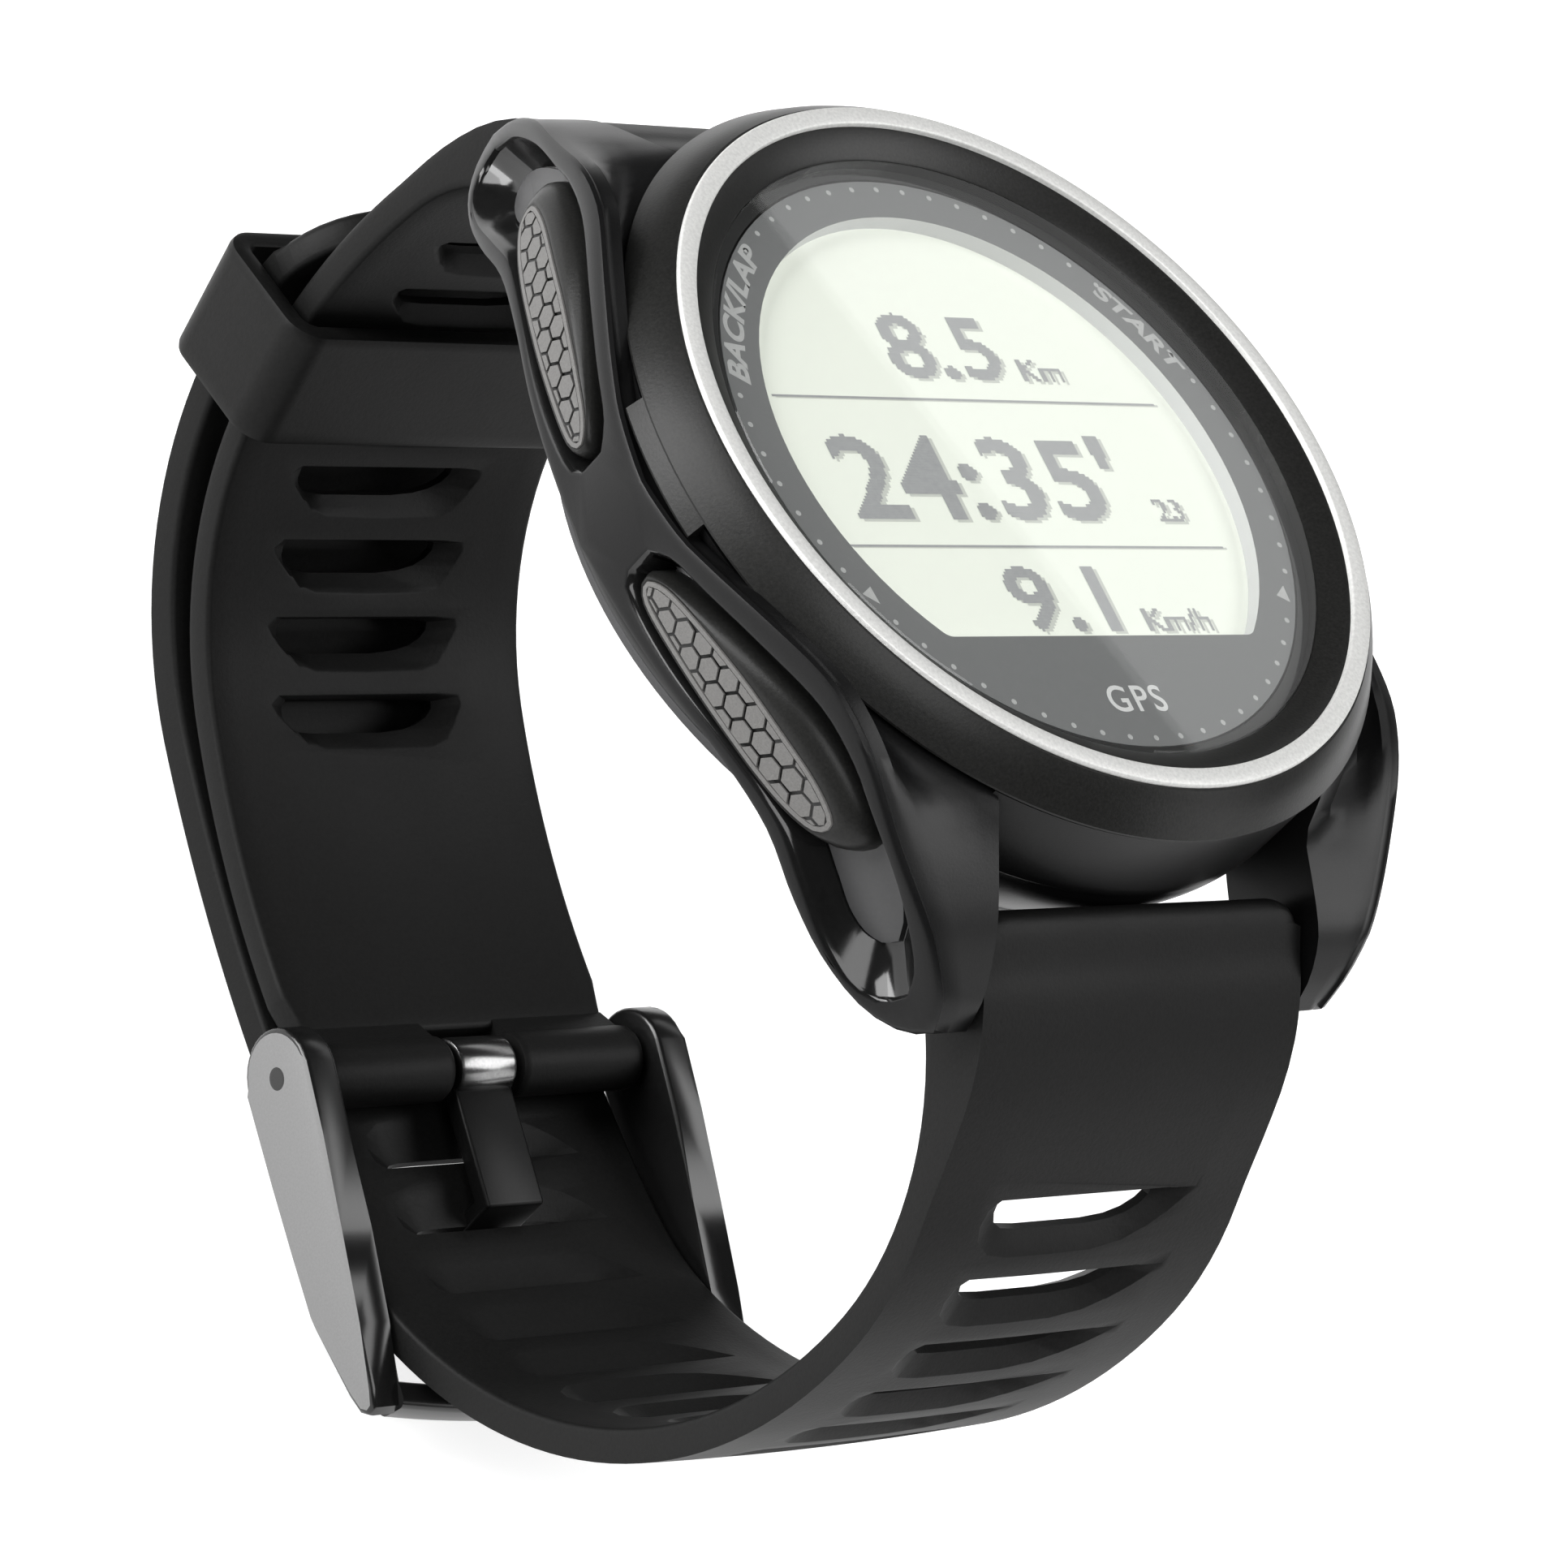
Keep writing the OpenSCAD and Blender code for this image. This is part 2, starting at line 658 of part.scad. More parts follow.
// The tongue runs along the inside of the long strap, turns through the slot and ends on the bar
module buckle_tongue() {
    slack = (slot_through - tongue_t) / 2;
    slot_p = long_at(tongue_s + slack);
    slot_q = long_at(tongue_s + slack + tongue_t);
    inside = 0.45;
    outside = -strap_t - 0.45;
    bar_over = [cross_c[0] + 0.6, cross_c[1] - cross_r - 0.25];
    color([0.12, 0.12, 0.12])
    difference() {
        union() {
            translate([0, pin_y, pin_z]) along_x(-tongue_w / 2, tongue_w / 2, tube_r - 0.15);
            across(tongue_w) polygon([
                [pin_y, pin_z + 0.6], beside(slot_p, inside + tongue_t), beside(slot_p, outside),
                bar_over + [-1.8, 0], bar_over + [-1.8, -tongue_t],
                beside(slot_q, outside - tongue_t), beside(slot_q, inside), [pin_y, pin_z - 0.6]]);
        }
        translate([0, pin_y, pin_z]) along_x(-tongue_w, tongue_w, bar_r + fit);
    }
}

mid_case();
bezel();
bezel_ring();
lens();
lens_gasket();
dial_mask();
display();
backlight();
display_flex();
chassis();
gps_antenna();
main_board();
shield_can();
vibration_motor();
battery();
side_switches();
bezel_gasket();
back_gasket();
rear_cover();
back_screws();
charge_contacts();
spring_bar_12();
spring_bar_6();
strap_short();
strap_long();
keeper();
buckle_frame();
buckle_pin();
buckle_tongue();
button_cap(2);  // button_cap_2
button_cap(4);  // button_cap_4
button_cap(8);  // button_cap_8
button_cap(10);  // button_cap_10
button_pad(2);  // button_pad_2
button_pad(4);  // button_pad_4
button_pad(8);  // button_pad_8
button_pad(10);  // button_pad_10
button_seal(2);  // button_seal_2
button_seal(4);  // button_seal_4
button_seal(8);  // button_seal_8
button_seal(10);  // button_seal_10
button_clip(2);  // button_clip_2
button_clip(4);  // button_clip_4
button_clip(8);  // button_clip_8
button_clip(10);  // button_clip_10
button_spring(2);  // button_spring_2
button_spring(4);  // button_spring_4
button_spring(8);  // button_spring_8
button_spring(10);  // button_spring_10
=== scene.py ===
from math import cos, pi, radians, sin, sqrt

import bmesh
import bpy
from mathutils import Matrix, Vector
from mathutils.bvhtree import BVHTree


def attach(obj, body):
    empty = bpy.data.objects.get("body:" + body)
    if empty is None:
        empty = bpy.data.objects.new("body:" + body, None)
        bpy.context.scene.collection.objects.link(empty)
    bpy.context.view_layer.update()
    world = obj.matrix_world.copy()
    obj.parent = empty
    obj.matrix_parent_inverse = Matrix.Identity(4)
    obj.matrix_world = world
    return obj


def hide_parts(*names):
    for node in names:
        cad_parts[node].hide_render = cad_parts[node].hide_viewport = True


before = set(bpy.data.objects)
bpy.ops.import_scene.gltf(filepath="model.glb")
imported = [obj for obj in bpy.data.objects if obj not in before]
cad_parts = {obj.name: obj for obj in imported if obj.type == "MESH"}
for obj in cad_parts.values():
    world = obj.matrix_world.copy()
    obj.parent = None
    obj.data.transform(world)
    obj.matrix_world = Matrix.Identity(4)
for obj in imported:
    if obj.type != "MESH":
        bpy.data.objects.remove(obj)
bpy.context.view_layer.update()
mm = 0.001   # everything below is drawn in millimetres and scaled when it is linked


# Puts a number, a colour or another node's output into a slot
def plug(tree, slot, value):
    if isinstance(value, Wire):
        value = value.socket
    if isinstance(value, bpy.types.NodeSocket):
        tree.links.new(value, slot)
    else:
        slot.default_value = value


# An output in a shader tree that can be added to and multiplied
class Wire:
    def __init__(self, tree, socket):
        self.tree = tree
        self.socket = socket

    def calc(self, kind, other):
        node = self.tree.nodes.new("ShaderNodeMath")
        node.operation = kind
        plug(self.tree, node.inputs[0], self)
        plug(self.tree, node.inputs[1], other)
        return Wire(self.tree, node.outputs[0])

    def __add__(self, other):
        return self.calc("ADD", other)

    def __mul__(self, other):
        return self.calc("MULTIPLY", other)


class Paint:
    def __init__(self, name, colour, roughness, metallic=0.0, **extra):
        self.material = bpy.data.materials.new(name)
        self.material.use_nodes = True
        self.material.diffuse_color = (*colour, 1)
        self.tree = self.material.node_tree
        self.shader = self.tree.nodes["Principled BSDF"]
        self.set("Base Color", (*colour, 1))
        self.set("Roughness", roughness)
        self.set("Metallic", metallic)
        for key, value in extra.items():
            self.set(key.replace("_", " "), value)

    def set(self, name, value):
        plug(self.tree, self.shader.inputs[name], value)

    def node(self, kind, settings=None, inputs=None):
        made = self.tree.nodes.new(kind)
        for key, value in (settings or {}).items():
            setattr(made, key, value)
        for key, value in (inputs or {}).items():
            plug(self.tree, made.inputs[key], value)
        return made

    def noise(self, perMetre, roughness):
        place = self.node("ShaderNodeTexCoord").outputs["Object"]
        made = self.node("ShaderNodeTexNoise", inputs={
            "Vector": place, "Scale": perMetre, "Detail": 3.0, "Roughness": roughness})
        return Wire(self.tree, made.outputs[0])

    def mixed(self, factor, first, second):
        made = self.node("ShaderNodeMix", {"data_type": "RGBA"})
        self.tree.links.new(factor.socket, made.inputs[0])
        made.inputs[6].default_value = (*first, 1)
        made.inputs[7].default_value = (*second, 1)
        return made.outputs[2]

    def bump(self, height, depth):
        made = self.node("ShaderNodeBump", inputs={"Strength": 1.0, "Distance": depth, "Height": height})
        self.set("Normal", made.outputs["Normal"])


# dark and light: one grey or three parts; grain and depth of the fine texture in mm;
# uneven: how much the sheen wanders
def grained(name, dark, light, roughness, grain, depth, uneven=0.08, metallic=0.0, **extra):
    dark, light = [(c, c, c) if isinstance(c, float) else c for c in (dark, light)]
    paint = Paint(name, light, roughness, metallic, **extra)
    fine = paint.noise(1 / (grain * mm), 0.6)
    broad = paint.noise(90.0, 0.55)
    paint.set("Base Color", paint.mixed(fine, dark, light))
    paint.set("Roughness", broad * uneven * 2 + (roughness - uneven))
    paint.bump(fine, depth * mm)
    return paint.material


# the colours most likely to be changed, the rest stand with their paints
looks = {
    "rubberDark": 0.003,
    "rubberLight": (0.009, 0.009, 0.0088),
    "shellDark": (0.0025, 0.0025, 0.0026),
    "shellLight": (0.007, 0.007, 0.0072),
    "ringDark": (0.50, 0.50, 0.49),
    "ringLight": (0.86, 0.86, 0.84),
    "padDark": (0.062, 0.060, 0.058),
    "padLight": (0.148, 0.145, 0.140),
    "maskGrey": (0.150, 0.152, 0.154),
    "glass": (0.80, 0.83, 0.755),
    "inkGrey": (0.30, 0.305, 0.315),
    "inkShadow": (0.55, 0.57, 0.53),
    "labelGrey": 0.36,
    "plateGrey": 0.22,
}

rubberPaint = grained("strapRubber", looks["rubberDark"], looks["rubberLight"], 0.50, 0.22, 0.012,
                      Specular_IOR_Level=0.13)
keeperPaint = grained("keeperRubber", looks["rubberDark"], looks["rubberLight"], 0.46, 0.25, 0.010,
                      Specular_IOR_Level=0.13)
shellPaint = grained("caseSatin", looks["shellDark"], looks["shellLight"], 0.34, 0.14, 0.004,
                     Specular_IOR_Level=0.20)
polishPaint = grained("casePolished", 0.004, 0.009, 0.13, 0.4, 0.001, uneven=0.03)
bezelPaint = grained("bezelAnodised", 0.003, (0.020, 0.020, 0.019), 0.34, 0.16, 0.007,
                     uneven=0.05, Specular_IOR_Level=0.20)
ringPaint = grained("ringBlasted", looks["ringDark"], looks["ringLight"], 0.52, 0.20, 0.016,
                    uneven=0.05, metallic=0.35)
capPaint = grained("buttonCap", 0.004, (0.018, 0.018, 0.017), 0.33, 0.15, 0.007,
                   Specular_IOR_Level=0.20)
padPaint = grained("buttonPad", looks["padDark"], looks["padLight"], 0.52, 0.10, 0.008)
groovePaint = grained("padGroove", 0.006, 0.014, 0.6, 0.15, 0.004)
floorPaint = grained("pocketFloor", (0.030, 0.030, 0.031), (0.045, 0.045, 0.046), 0.42, 0.2, 0.003)
maskPaint = grained("maskPrint", looks["maskGrey"], (0.172, 0.174, 0.177), 0.5, 0.3, 0.0005)
# the display face glows faintly through its emission: painted light that brightens it
glowingFacePaint = grained("displayFaceGlow", (0.76, 0.775, 0.715), looks["glass"], 0.6, 0.5, 0.0005,
                    uneven=0.02, Emission_Color=(0.80, 0.83, 0.75, 1), Emission_Strength=0.12)
inkPaint = grained("displayInk", looks["inkGrey"], (0.41, 0.41, 0.42), 0.5, 0.3, 0.0005)
inkShadowPaint = grained("displayInkShadow", looks["inkShadow"], (0.62, 0.63, 0.59), 0.6, 0.3, 0.0005)
# the wall of the mask's opening is painted far lighter than the mask's top: painted light, as if the wall
# were lit
litStepPaint = grained("maskStepLit", (0.54, 0.54, 0.55), (0.58, 0.58, 0.59), 0.5, 0.3, 0.0005)
labelPaint = grained("dialLabel", looks["labelGrey"], 0.50, 0.5, 0.3, 0.0005)
brightLabelPaint = grained("dialLabelBright", 0.60, 0.66, 0.5, 0.3, 0.0005)
platePaint = grained("buckleSatin", 0.16, looks["plateGrey"], 0.42, 0.14, 0.003, uneven=0.05, metallic=0.4)
plateEdgePaint = grained("buckleEdge", 0.004, 0.008, 0.24, 0.4, 0.001, uneven=0.04)
tonguePaint = grained("tongueBlack", 0.003, 0.007, 0.36, 0.2, 0.003, Specular_IOR_Level=0.15)
eyePaint = grained("tongueEye", 0.16, 0.24, 0.20, 0.2, 0.002, metallic=1.0)
steelPaint = grained("pinSteel", (0.50, 0.50, 0.51), (0.66, 0.66, 0.67), 0.22, 0.2, 0.001,
                     uneven=0.06, metallic=1.0)
goldPaint = grained("contactGold", (0.72, 0.50, 0.20), (0.86, 0.62, 0.27), 0.28, 0.2, 0.001,
                    uneven=0.05, metallic=1.0)
coverPaint = grained("coverPlastic", (0.012, 0.012, 0.013), (0.028, 0.028, 0.030), 0.48, 0.2, 0.010)
gasketPaint = grained("gasketBlack", 0.005, 0.010, 0.6, 0.3, 0.004)
innerPaint = grained("innerPlastic", (0.03, 0.03, 0.032), (0.05, 0.05, 0.052), 0.5, 0.4, 0.004)
boardPaint = grained("boardGreen", (0.010, 0.050, 0.022), (0.016, 0.085, 0.036), 0.4, 0.6, 0.002)
cellPaint = grained("cellFoil", (0.10, 0.17, 0.30), (0.14, 0.23, 0.40), 0.35, 0.8, 0.003, metallic=0.4)
flexPaint = grained("flexFilm", (0.42, 0.20, 0.05), (0.55, 0.27, 0.07), 0.4, 0.6, 0.002)


# The lens only lets light through and mirrors it, more so at a glancing angle
def lensPaint():
    paint = Paint("lensGlass", (1, 1, 1), 0.02)
    tree = paint.tree
    tree.nodes.remove(paint.shader)
    clear = paint.node("ShaderNodeBsdfTransparent", inputs={"Color": (0.985, 0.99, 0.985, 1)})
    mirror = paint.node("ShaderNodeBsdfAnisotropic", inputs={"Color": (1, 1, 1, 1), "Roughness": 0.015})
    facing = Wire(tree, paint.node("ShaderNodeLayerWeight").outputs["Facing"])
    square = facing * facing
    mix = paint.node("ShaderNodeMixShader", inputs={
        0: square * square * facing * 0.9 + 0.025, 1: clear.outputs[0], 2: mirror.outputs[0]})
    tree.links.new(mix.outputs[0], tree.nodes["Material Output"].inputs["Surface"])
    return paint.material


print("materials ready")


def put(name, data):
    obj = bpy.data.objects.new(name, data)
    bpy.context.scene.collection.objects.link(obj)
    return obj


def link(name, bm, paints, body, nodes, sharp=32, weld=0.002):
    bmesh.ops.remove_doubles(bm, verts=bm.verts, dist=weld)
    bmesh.ops.recalc_face_normals(bm, faces=bm.faces)
    bmesh.ops.scale(bm, vec=(mm, mm, mm), verts=bm.verts)
    mesh = bpy.data.meshes.new(name)
    bm.to_mesh(mesh)
    bm.free()
    for paint in paints:
        mesh.materials.append(paint)
    mesh.shade_smooth()
    mesh.set_sharp_from_angle(angle=radians(sharp))
    obj = put(name, mesh)
    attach(obj, body)
    if nodes:
        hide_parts(*nodes)


def allOf(bm):
    return bm.verts[:] + bm.edges[:] + bm.faces[:]


def ringOf(bm, points):
    verts = [bm.verts.new(p) for p in points]
    for i in range(len(verts)):
        bm.edges.new((verts[i - 1], verts[i]))
    return verts


# Pulls a new ring out of an old one and puts it on the given points
def pull(bm, ring, points, material=0):
    edges = [bm.edges.get((ring[i - 1], ring[i])) for i in range(len(ring))]
    made = bmesh.ops.extrude_edge_only(bm, edges=edges)["geom"]
    fresh = {g for g in made if isinstance(g, bmesh.types.BMVert)}
    for g in made:
        if isinstance(g, bmesh.types.BMFace):
            g.material_index = material
    result = []
    for v, p in zip(ring, points):
        twin = next(e.other_vert(v) for e in v.link_edges if e.other_vert(v) in fresh)
        twin.co = p
        result.append(twin)
    return result


def cap(bm, ring, material=0):
    face = bm.faces.new(ring)
    face.material_index = material
    return face


def loft(bm, rings, capped=True, material=0):
    ring = ringOf(bm, rings[0])
    if capped:
        cap(bm, ring, material)
    for points in rings[1:]:
        ring = pull(bm, ring, points, material)
    if capped:
        cap(bm, ring, material)
    return ring


# Even points along a smooth line through the given ones
def smoothLine(points, count, closed=False):
    n = len(points)
    dense = []
    spans = n if closed else n - 1
    for i in range(spans):
        if closed:
            p = [Vector(points[(i + k - 1) % n]) for k in range(4)]
        else:
            p = [Vector(points[max(0, min(n - 1, i + k - 1))]) for k in range(4)]
        for k in range(12):
            t = k / 12
            dense.append(0.5 * (2 * p[1] + (p[2] - p[0]) * t
                                + (2 * p[0] - 5 * p[1] + 4 * p[2] - p[3]) * t * t
                                + (3 * p[1] - p[0] - 3 * p[2] + p[3]) * t ** 3))
    dense.append(Vector(points[0] if closed else points[-1]))
    lengths = [0.0]
    for a, b in zip(dense, dense[1:]):
        lengths.append(lengths[-1] + (b - a).length)
    result, k = [], 0
    steps = count if closed else count - 1
    for i in range(count):
        goal = lengths[-1] * i / steps
        while k < len(lengths) - 2 and lengths[k + 1] < goal:
            k += 1
        span = lengths[k + 1] - lengths[k]
        t = (goal - lengths[k]) / span if span > 0 else 0
        result.append(dense[k].lerp(dense[k + 1], t))
    return result


# Moves a closed flat ring inwards
def inset(points, amount):
    n = len(points)
    area = sum(points[i - 1].cross(points[i]) for i in range(n))
    side = 1 if area > 0 else -1
    result = []
    for i in range(n):
        along = (points[(i + 1) % n] - points[i - 1]).normalized()
        result.append(points[i] + Vector((-along.y, along.x)) * amount * side)
    return result


# Turns a closed section round the dial's axis
def turned(section):
    bm = bmesh.new()
    ringOf(bm, [(r, 0, z) for r, z in section])
    bmesh.ops.spin(bm, geom=bm.verts[:] + bm.edges[:], cent=(0, 0, 0), axis=(0, 0, 1), angle=2 * pi,
                   steps=192, use_merge=True)
    loose = [e for e in bm.edges if not e.link_faces]
    bmesh.ops.delete(bm, geom=loose, context="EDGES")
    return bm


def circle(x, middle, radius, count):
    return [(x, middle[0] + radius * cos(2 * pi * i / count), middle[1] + radius * sin(2 * pi * i / count))
            for i in range(count)]


def hardEdges(bm, degreesMin):
    return [e for e in bm.edges if len(e.link_faces) == 2 and e.calc_face_angle(0) > radians(degreesMin)]


def roundOff(bm, edges, width, segments=3, material=-1):
    bmesh.ops.bevel(bm, geom=edges, offset=width, segments=segments, profile=0.5,
                    affect="EDGES", material=material, clamp_overlap=True)


def prism(bm, points, low, high, place):
    loft(bm, [[place(a, b, h) for a, b in points] for h in (low, high)])


def cutAt(bm, at, normal, drop=False):
    bmesh.ops.bisect_plane(bm, geom=allOf(bm), dist=1e-5, plane_co=at, plane_no=normal, clear_outer=drop)


# Moves all of one mesh over into another
def pour(source, target):
    mesh = bpy.data.meshes.new("scratch")
    source.to_mesh(mesh)
    source.free()
    target.from_mesh(mesh)


def scratchObject(bm):
    mesh = bpy.data.meshes.new("scratch")
    bm.to_mesh(mesh)
    return put("scratch", mesh)


def carved(bm, tool):
    for part in (bm, tool):
        bmesh.ops.recalc_face_normals(part, faces=part.faces)
    block, cutter = scratchObject(bm), scratchObject(tool)
    cut = block.modifiers.new("cut", "BOOLEAN")
    cut.operation = "DIFFERENCE"
    cut.solver = "EXACT"
    cut.object = cutter
    bpy.context.view_layer.update()
    mesh = bpy.data.meshes.new_from_object(block.evaluated_get(bpy.context.evaluated_depsgraph_get()))
    result = bmesh.new()
    result.from_mesh(mesh)
    for obj in (block, cutter):
        bpy.data.objects.remove(obj)
    bm.free()
    tool.free()
    return result


case = {
    "railRadius": 44.0,     # arc of the side rails seen from above
    "railMiddle": -21.0,    # centre of that arc
    "lugInside": 11.3,      # half the gap between a pair of lugs
    "lugTop": 19.15,        # from here on the shoulder falls to the lug's inner face
    "lugBelow": 17.6,
    "seatRadius": 22.2,     # where the shoulder runs in under the bezel
    "seatTop": 10.35,
    "bellyRadius": 20.9,    # where the underside meets the barrel
    "rimTop": 1.35,         # how far the rim runs in before the shoulder falls
    "windowDepth": 2.1,
    "windowWall": 0.62,     # how far the window's wall leans in
    "floorShift": (-1.75, 1.0),   # and how much more at the lug end, along and up
    "valley": 0.75,         # how much the shoulder sinks between rim and bezel
    "rightDrop": 0.42,      # how far the 3 o'clock side is let down towards its middle
    "dropFrom": 5.5,        # only above this height
    "dropRadius": 22.1,     # and only outside this radius
    "lowPoints": 34,
    "topPoints": 38,
}

railBottom = [(0, 3.6), (4, 3.8), (8.5, 4.0), (12.5, 4.2), (16.2, 3.7), (19.2, 2.1), (21.8, 0.9),
              (24.4, 0.35), (26.2, 0.85), (27, 2.0)]
railTop = [(27, 2.0), (26.4, 3.8), (25.3, 5.3), (23.8, 6.8), (20.6, 9.0), (17.5, 11.1), (15, 12.05),
           (12.9, 12.15), (9.4, 11.35), (5.6, 10.2), (3.5, 9.6), (0, 9.1)]
windowBottom = [(2.95, 5.8), (3.8, 5.1), (7.5, 4.85), (13.1, 5.05), (16.4, 4.7), (18.8, 3.4),
                (21.3, 1.85), (23.3, 1.15), (24.7, 1.5), (25.3, 2.7)]
windowTop = [(25.3, 2.7), (24.8, 4.1), (23.6, 5.6), (21.7, 7.3), (19.2, 8.9), (16.8, 10.2), (14, 10.75),
             (10, 10.05), (6.5, 9.1), (4.2, 8.4), (2.95, 7.4)]


def ease(t):
    t = max(0.0, min(1.0, t))
    return t * t * (3 - 2 * t)


# Outside the bezel the 3 o'clock side sits lower than the 9 o'clock side does
def settle(bm):
    low = case["dropFrom"]
    for v in bm.verts:
        if v.co.x > 0 and v.co.z > low:
            share = ease((v.co.xy.length - case["dropRadius"]) / 1.5)
            v.co.z -= (v.co.z - low) * case["rightDrop"] * share


def railX(y):
    return case["railMiddle"] + sqrt(case["railRadius"] ** 2 - y * y)


def onRail(points, depth, sx=1, sy=1):
    return [(sx * (railX(p.x) - depth), sy * p.x, p.y) for p in points]


def railRing(bottom, top):
    low = smoothLine(bottom, case["lowPoints"])
    high = smoothLine(top, case["topPoints"])
    shut = [high[-1].lerp(low[0], i / 6) for i in range(1, 6)]
    return low + high[1:] + shut


def buildRails():
    outer = railRing(railBottom, railTop)
    window = railRing(windowBottom, windowTop)
    firstTop = case["lowPoints"]
    isTop = [firstTop <= i < firstTop + case["topPoints"] - 1 for i in range(len(outer))]

    def held(points):
        # keeps the points on the middle line where they are, so that the halves meet
        return [Vector((0.0 if o.x < 1e-6 else p.x, p.y)) for p, o in zip(points, outer)]

    def funnel(extra):
        # the wall leans in more towards the lug end, where it leaves a round-ended floor
        far = []
        for p, q in zip(window, inset(window, case["windowWall"] + extra)):
            push = ease((p.x - 17.0) / 7.5)
            far.append(q + Vector(case["floorShift"]) * push)
        return far

    bm = bmesh.new()
    deep = case["windowDepth"]
    ring = ringOf(bm, onRail(funnel(0.10), deep - 0.32))
    cap(bm, ring, 2)
    # up the window's wall, over its lip and round the rail: outline, depth behind the rail, paint
    steps = [(funnel(0.06), deep - 0.30, 2), (funnel(0.04), deep, 1), (funnel(0.0), deep, 1)]
    for amount, depth, paint in ((0.12, 0.42, 1), (0.04, 0.25, 1), (-0.10, 0.06, 1), (-0.26, 0.0, 0)):
        steps.append((inset(window, amount), depth, paint))
    for amount, depth in ((0.34, 0.0), (0.12, 0.08), (0.02, 0.30), (0.15, 0.55), (0.11, 0.80)):
        steps.append((held(inset(outer, amount)), depth, 0))
    for points, depth, paint in steps:
        ring = pull(bm, ring, onRail(points, depth), paint)
    rim = [case["rimTop"] if t else 1.0 for t in isTop]
    ring = pull(bm, ring, [(railX(p.x) - d, p.x, p.y - (0.06 if t else 0))
                           for p, d, t in zip(outer, rim, isTop)])

    # the shoulder falls from the rim to the bezel, and at the lugs to their inner faces
    lug = case["lugInside"]

    def inner(p, top):
        if top:
            past = p.x - case["lugTop"]
            if past < 0:
                return Vector((sqrt(case["seatRadius"] ** 2 - p.x ** 2), p.x, case["seatTop"]))
            return Vector((lug, p.x, p.y + 0.35 * max(0, 1 - past / 8)))
        if p.x < case["lugBelow"]:
            return Vector((sqrt(case["bellyRadius"] ** 2 - p.x ** 2), p.x, p.y + 0.2))
        return Vector((lug, p.x, p.y))

    goals = [inner(p, t) for p, t in zip(outer, isTop)]
    starts = [Vector(v.co) for v in ring]
    for share in (0.16, 0.36, 0.6, 0.82):
        sag = case["valley"] * sin(pi * share)
        points = []
        for a, b, t in zip(starts, goals, isTop):
            p = a.lerp(b, share)
            if t:
                near = 1 - ease((a.y - 17.5) / 4.5)
                fall = (a.z - b.z) * (share ** 0.7 - share) if a.z > b.z else 0
                p.z -= (fall + sag * min(1, (a - b).length / 3)) * near
            points.append(p)
        ring = pull(bm, ring, points)
    ring = pull(bm, ring, goals)
    ring = pull(bm, ring, [(lug, g.y, g.z) for g in goals])
    cap(bm, ring)
    shutFaces = [f for f in bm.faces if all(abs(v.co.y) < 1e-5 for v in f.verts)]
    bmesh.ops.delete(bm, geom=shutFaces, context="FACES")
    for axis in ("Y", "X"):
        bmesh.ops.mirror(bm, geom=allOf(bm), matrix=Matrix.Identity(4), axis=axis, merge_dist=0.001)
    settle(bm)
    link("caseRails", bm, [shellPaint, polishPaint, floorPaint], "case", ["mid_case"],
         sharp=38)


wall = {
    "radius": 22.28,      # the end walls follow the bezel's edge
    "half": 11.6,
    "top": 10.5,
    "lip": 5.9,           # height of the lip that the rounded belly starts under
    "foot": 1.3,
    "tuck": 1.9,          # how far the belly runs in
}


def buildBarrel():
    bm = turned([(19.0, 1.25), (20.35, 1.25), (20.65, 1.5), (20.9, 2.4), (20.4, 3.3), (20.1, 4.5),
                 (20.1, 8.6), (21.1, 10.0), (21.2, 10.55), (19.0, 10.55)])
    # walls at 6 and 12 o'clock, each with a lip and a rounded belly under it
    rows, lipRow, bellyRow = 24, 10, 12
    made = bmesh.ops.create_grid(bm, x_segments=40, y_segments=rows, size=1)["verts"]
    for v in made:
        x = v.co.x * wall["half"]
        row = round((v.co.y + 1) / 2 * rows)
        step = max(0, min(1, (row - lipRow) / (bellyRow - lipRow)))
        below = max(0, row - bellyRow) / (rows - bellyRow)
        radius = wall["radius"] - 0.05 * step - wall["tuck"] * below ** 1.7
        if row < lipRow:
            z = wall["top"] + (wall["lip"] - wall["top"]) * row / lipRow
        else:
            z = wall["lip"] - 0.10 * step - (wall["lip"] - 0.10 - wall["foot"]) * below
        v.co = (x, -sqrt(radius ** 2 - x * x), z)
    fresh = set(made)
    grid = [g for kind in (bm.edges, bm.faces) for g in kind if all(v in fresh for v in g.verts)]
    bmesh.ops.mirror(bm, geom=made + grid, matrix=Matrix.Identity(4), axis="Y", merge_dist=0.0)
    link("caseBarrel", bm, [shellPaint], "case", (), sharp=45)


bezel = {
    "skirtHalf": 9.5,     # degrees each way over which the skirt drops lower between the buttons
    "skirtSteps": 28,
}


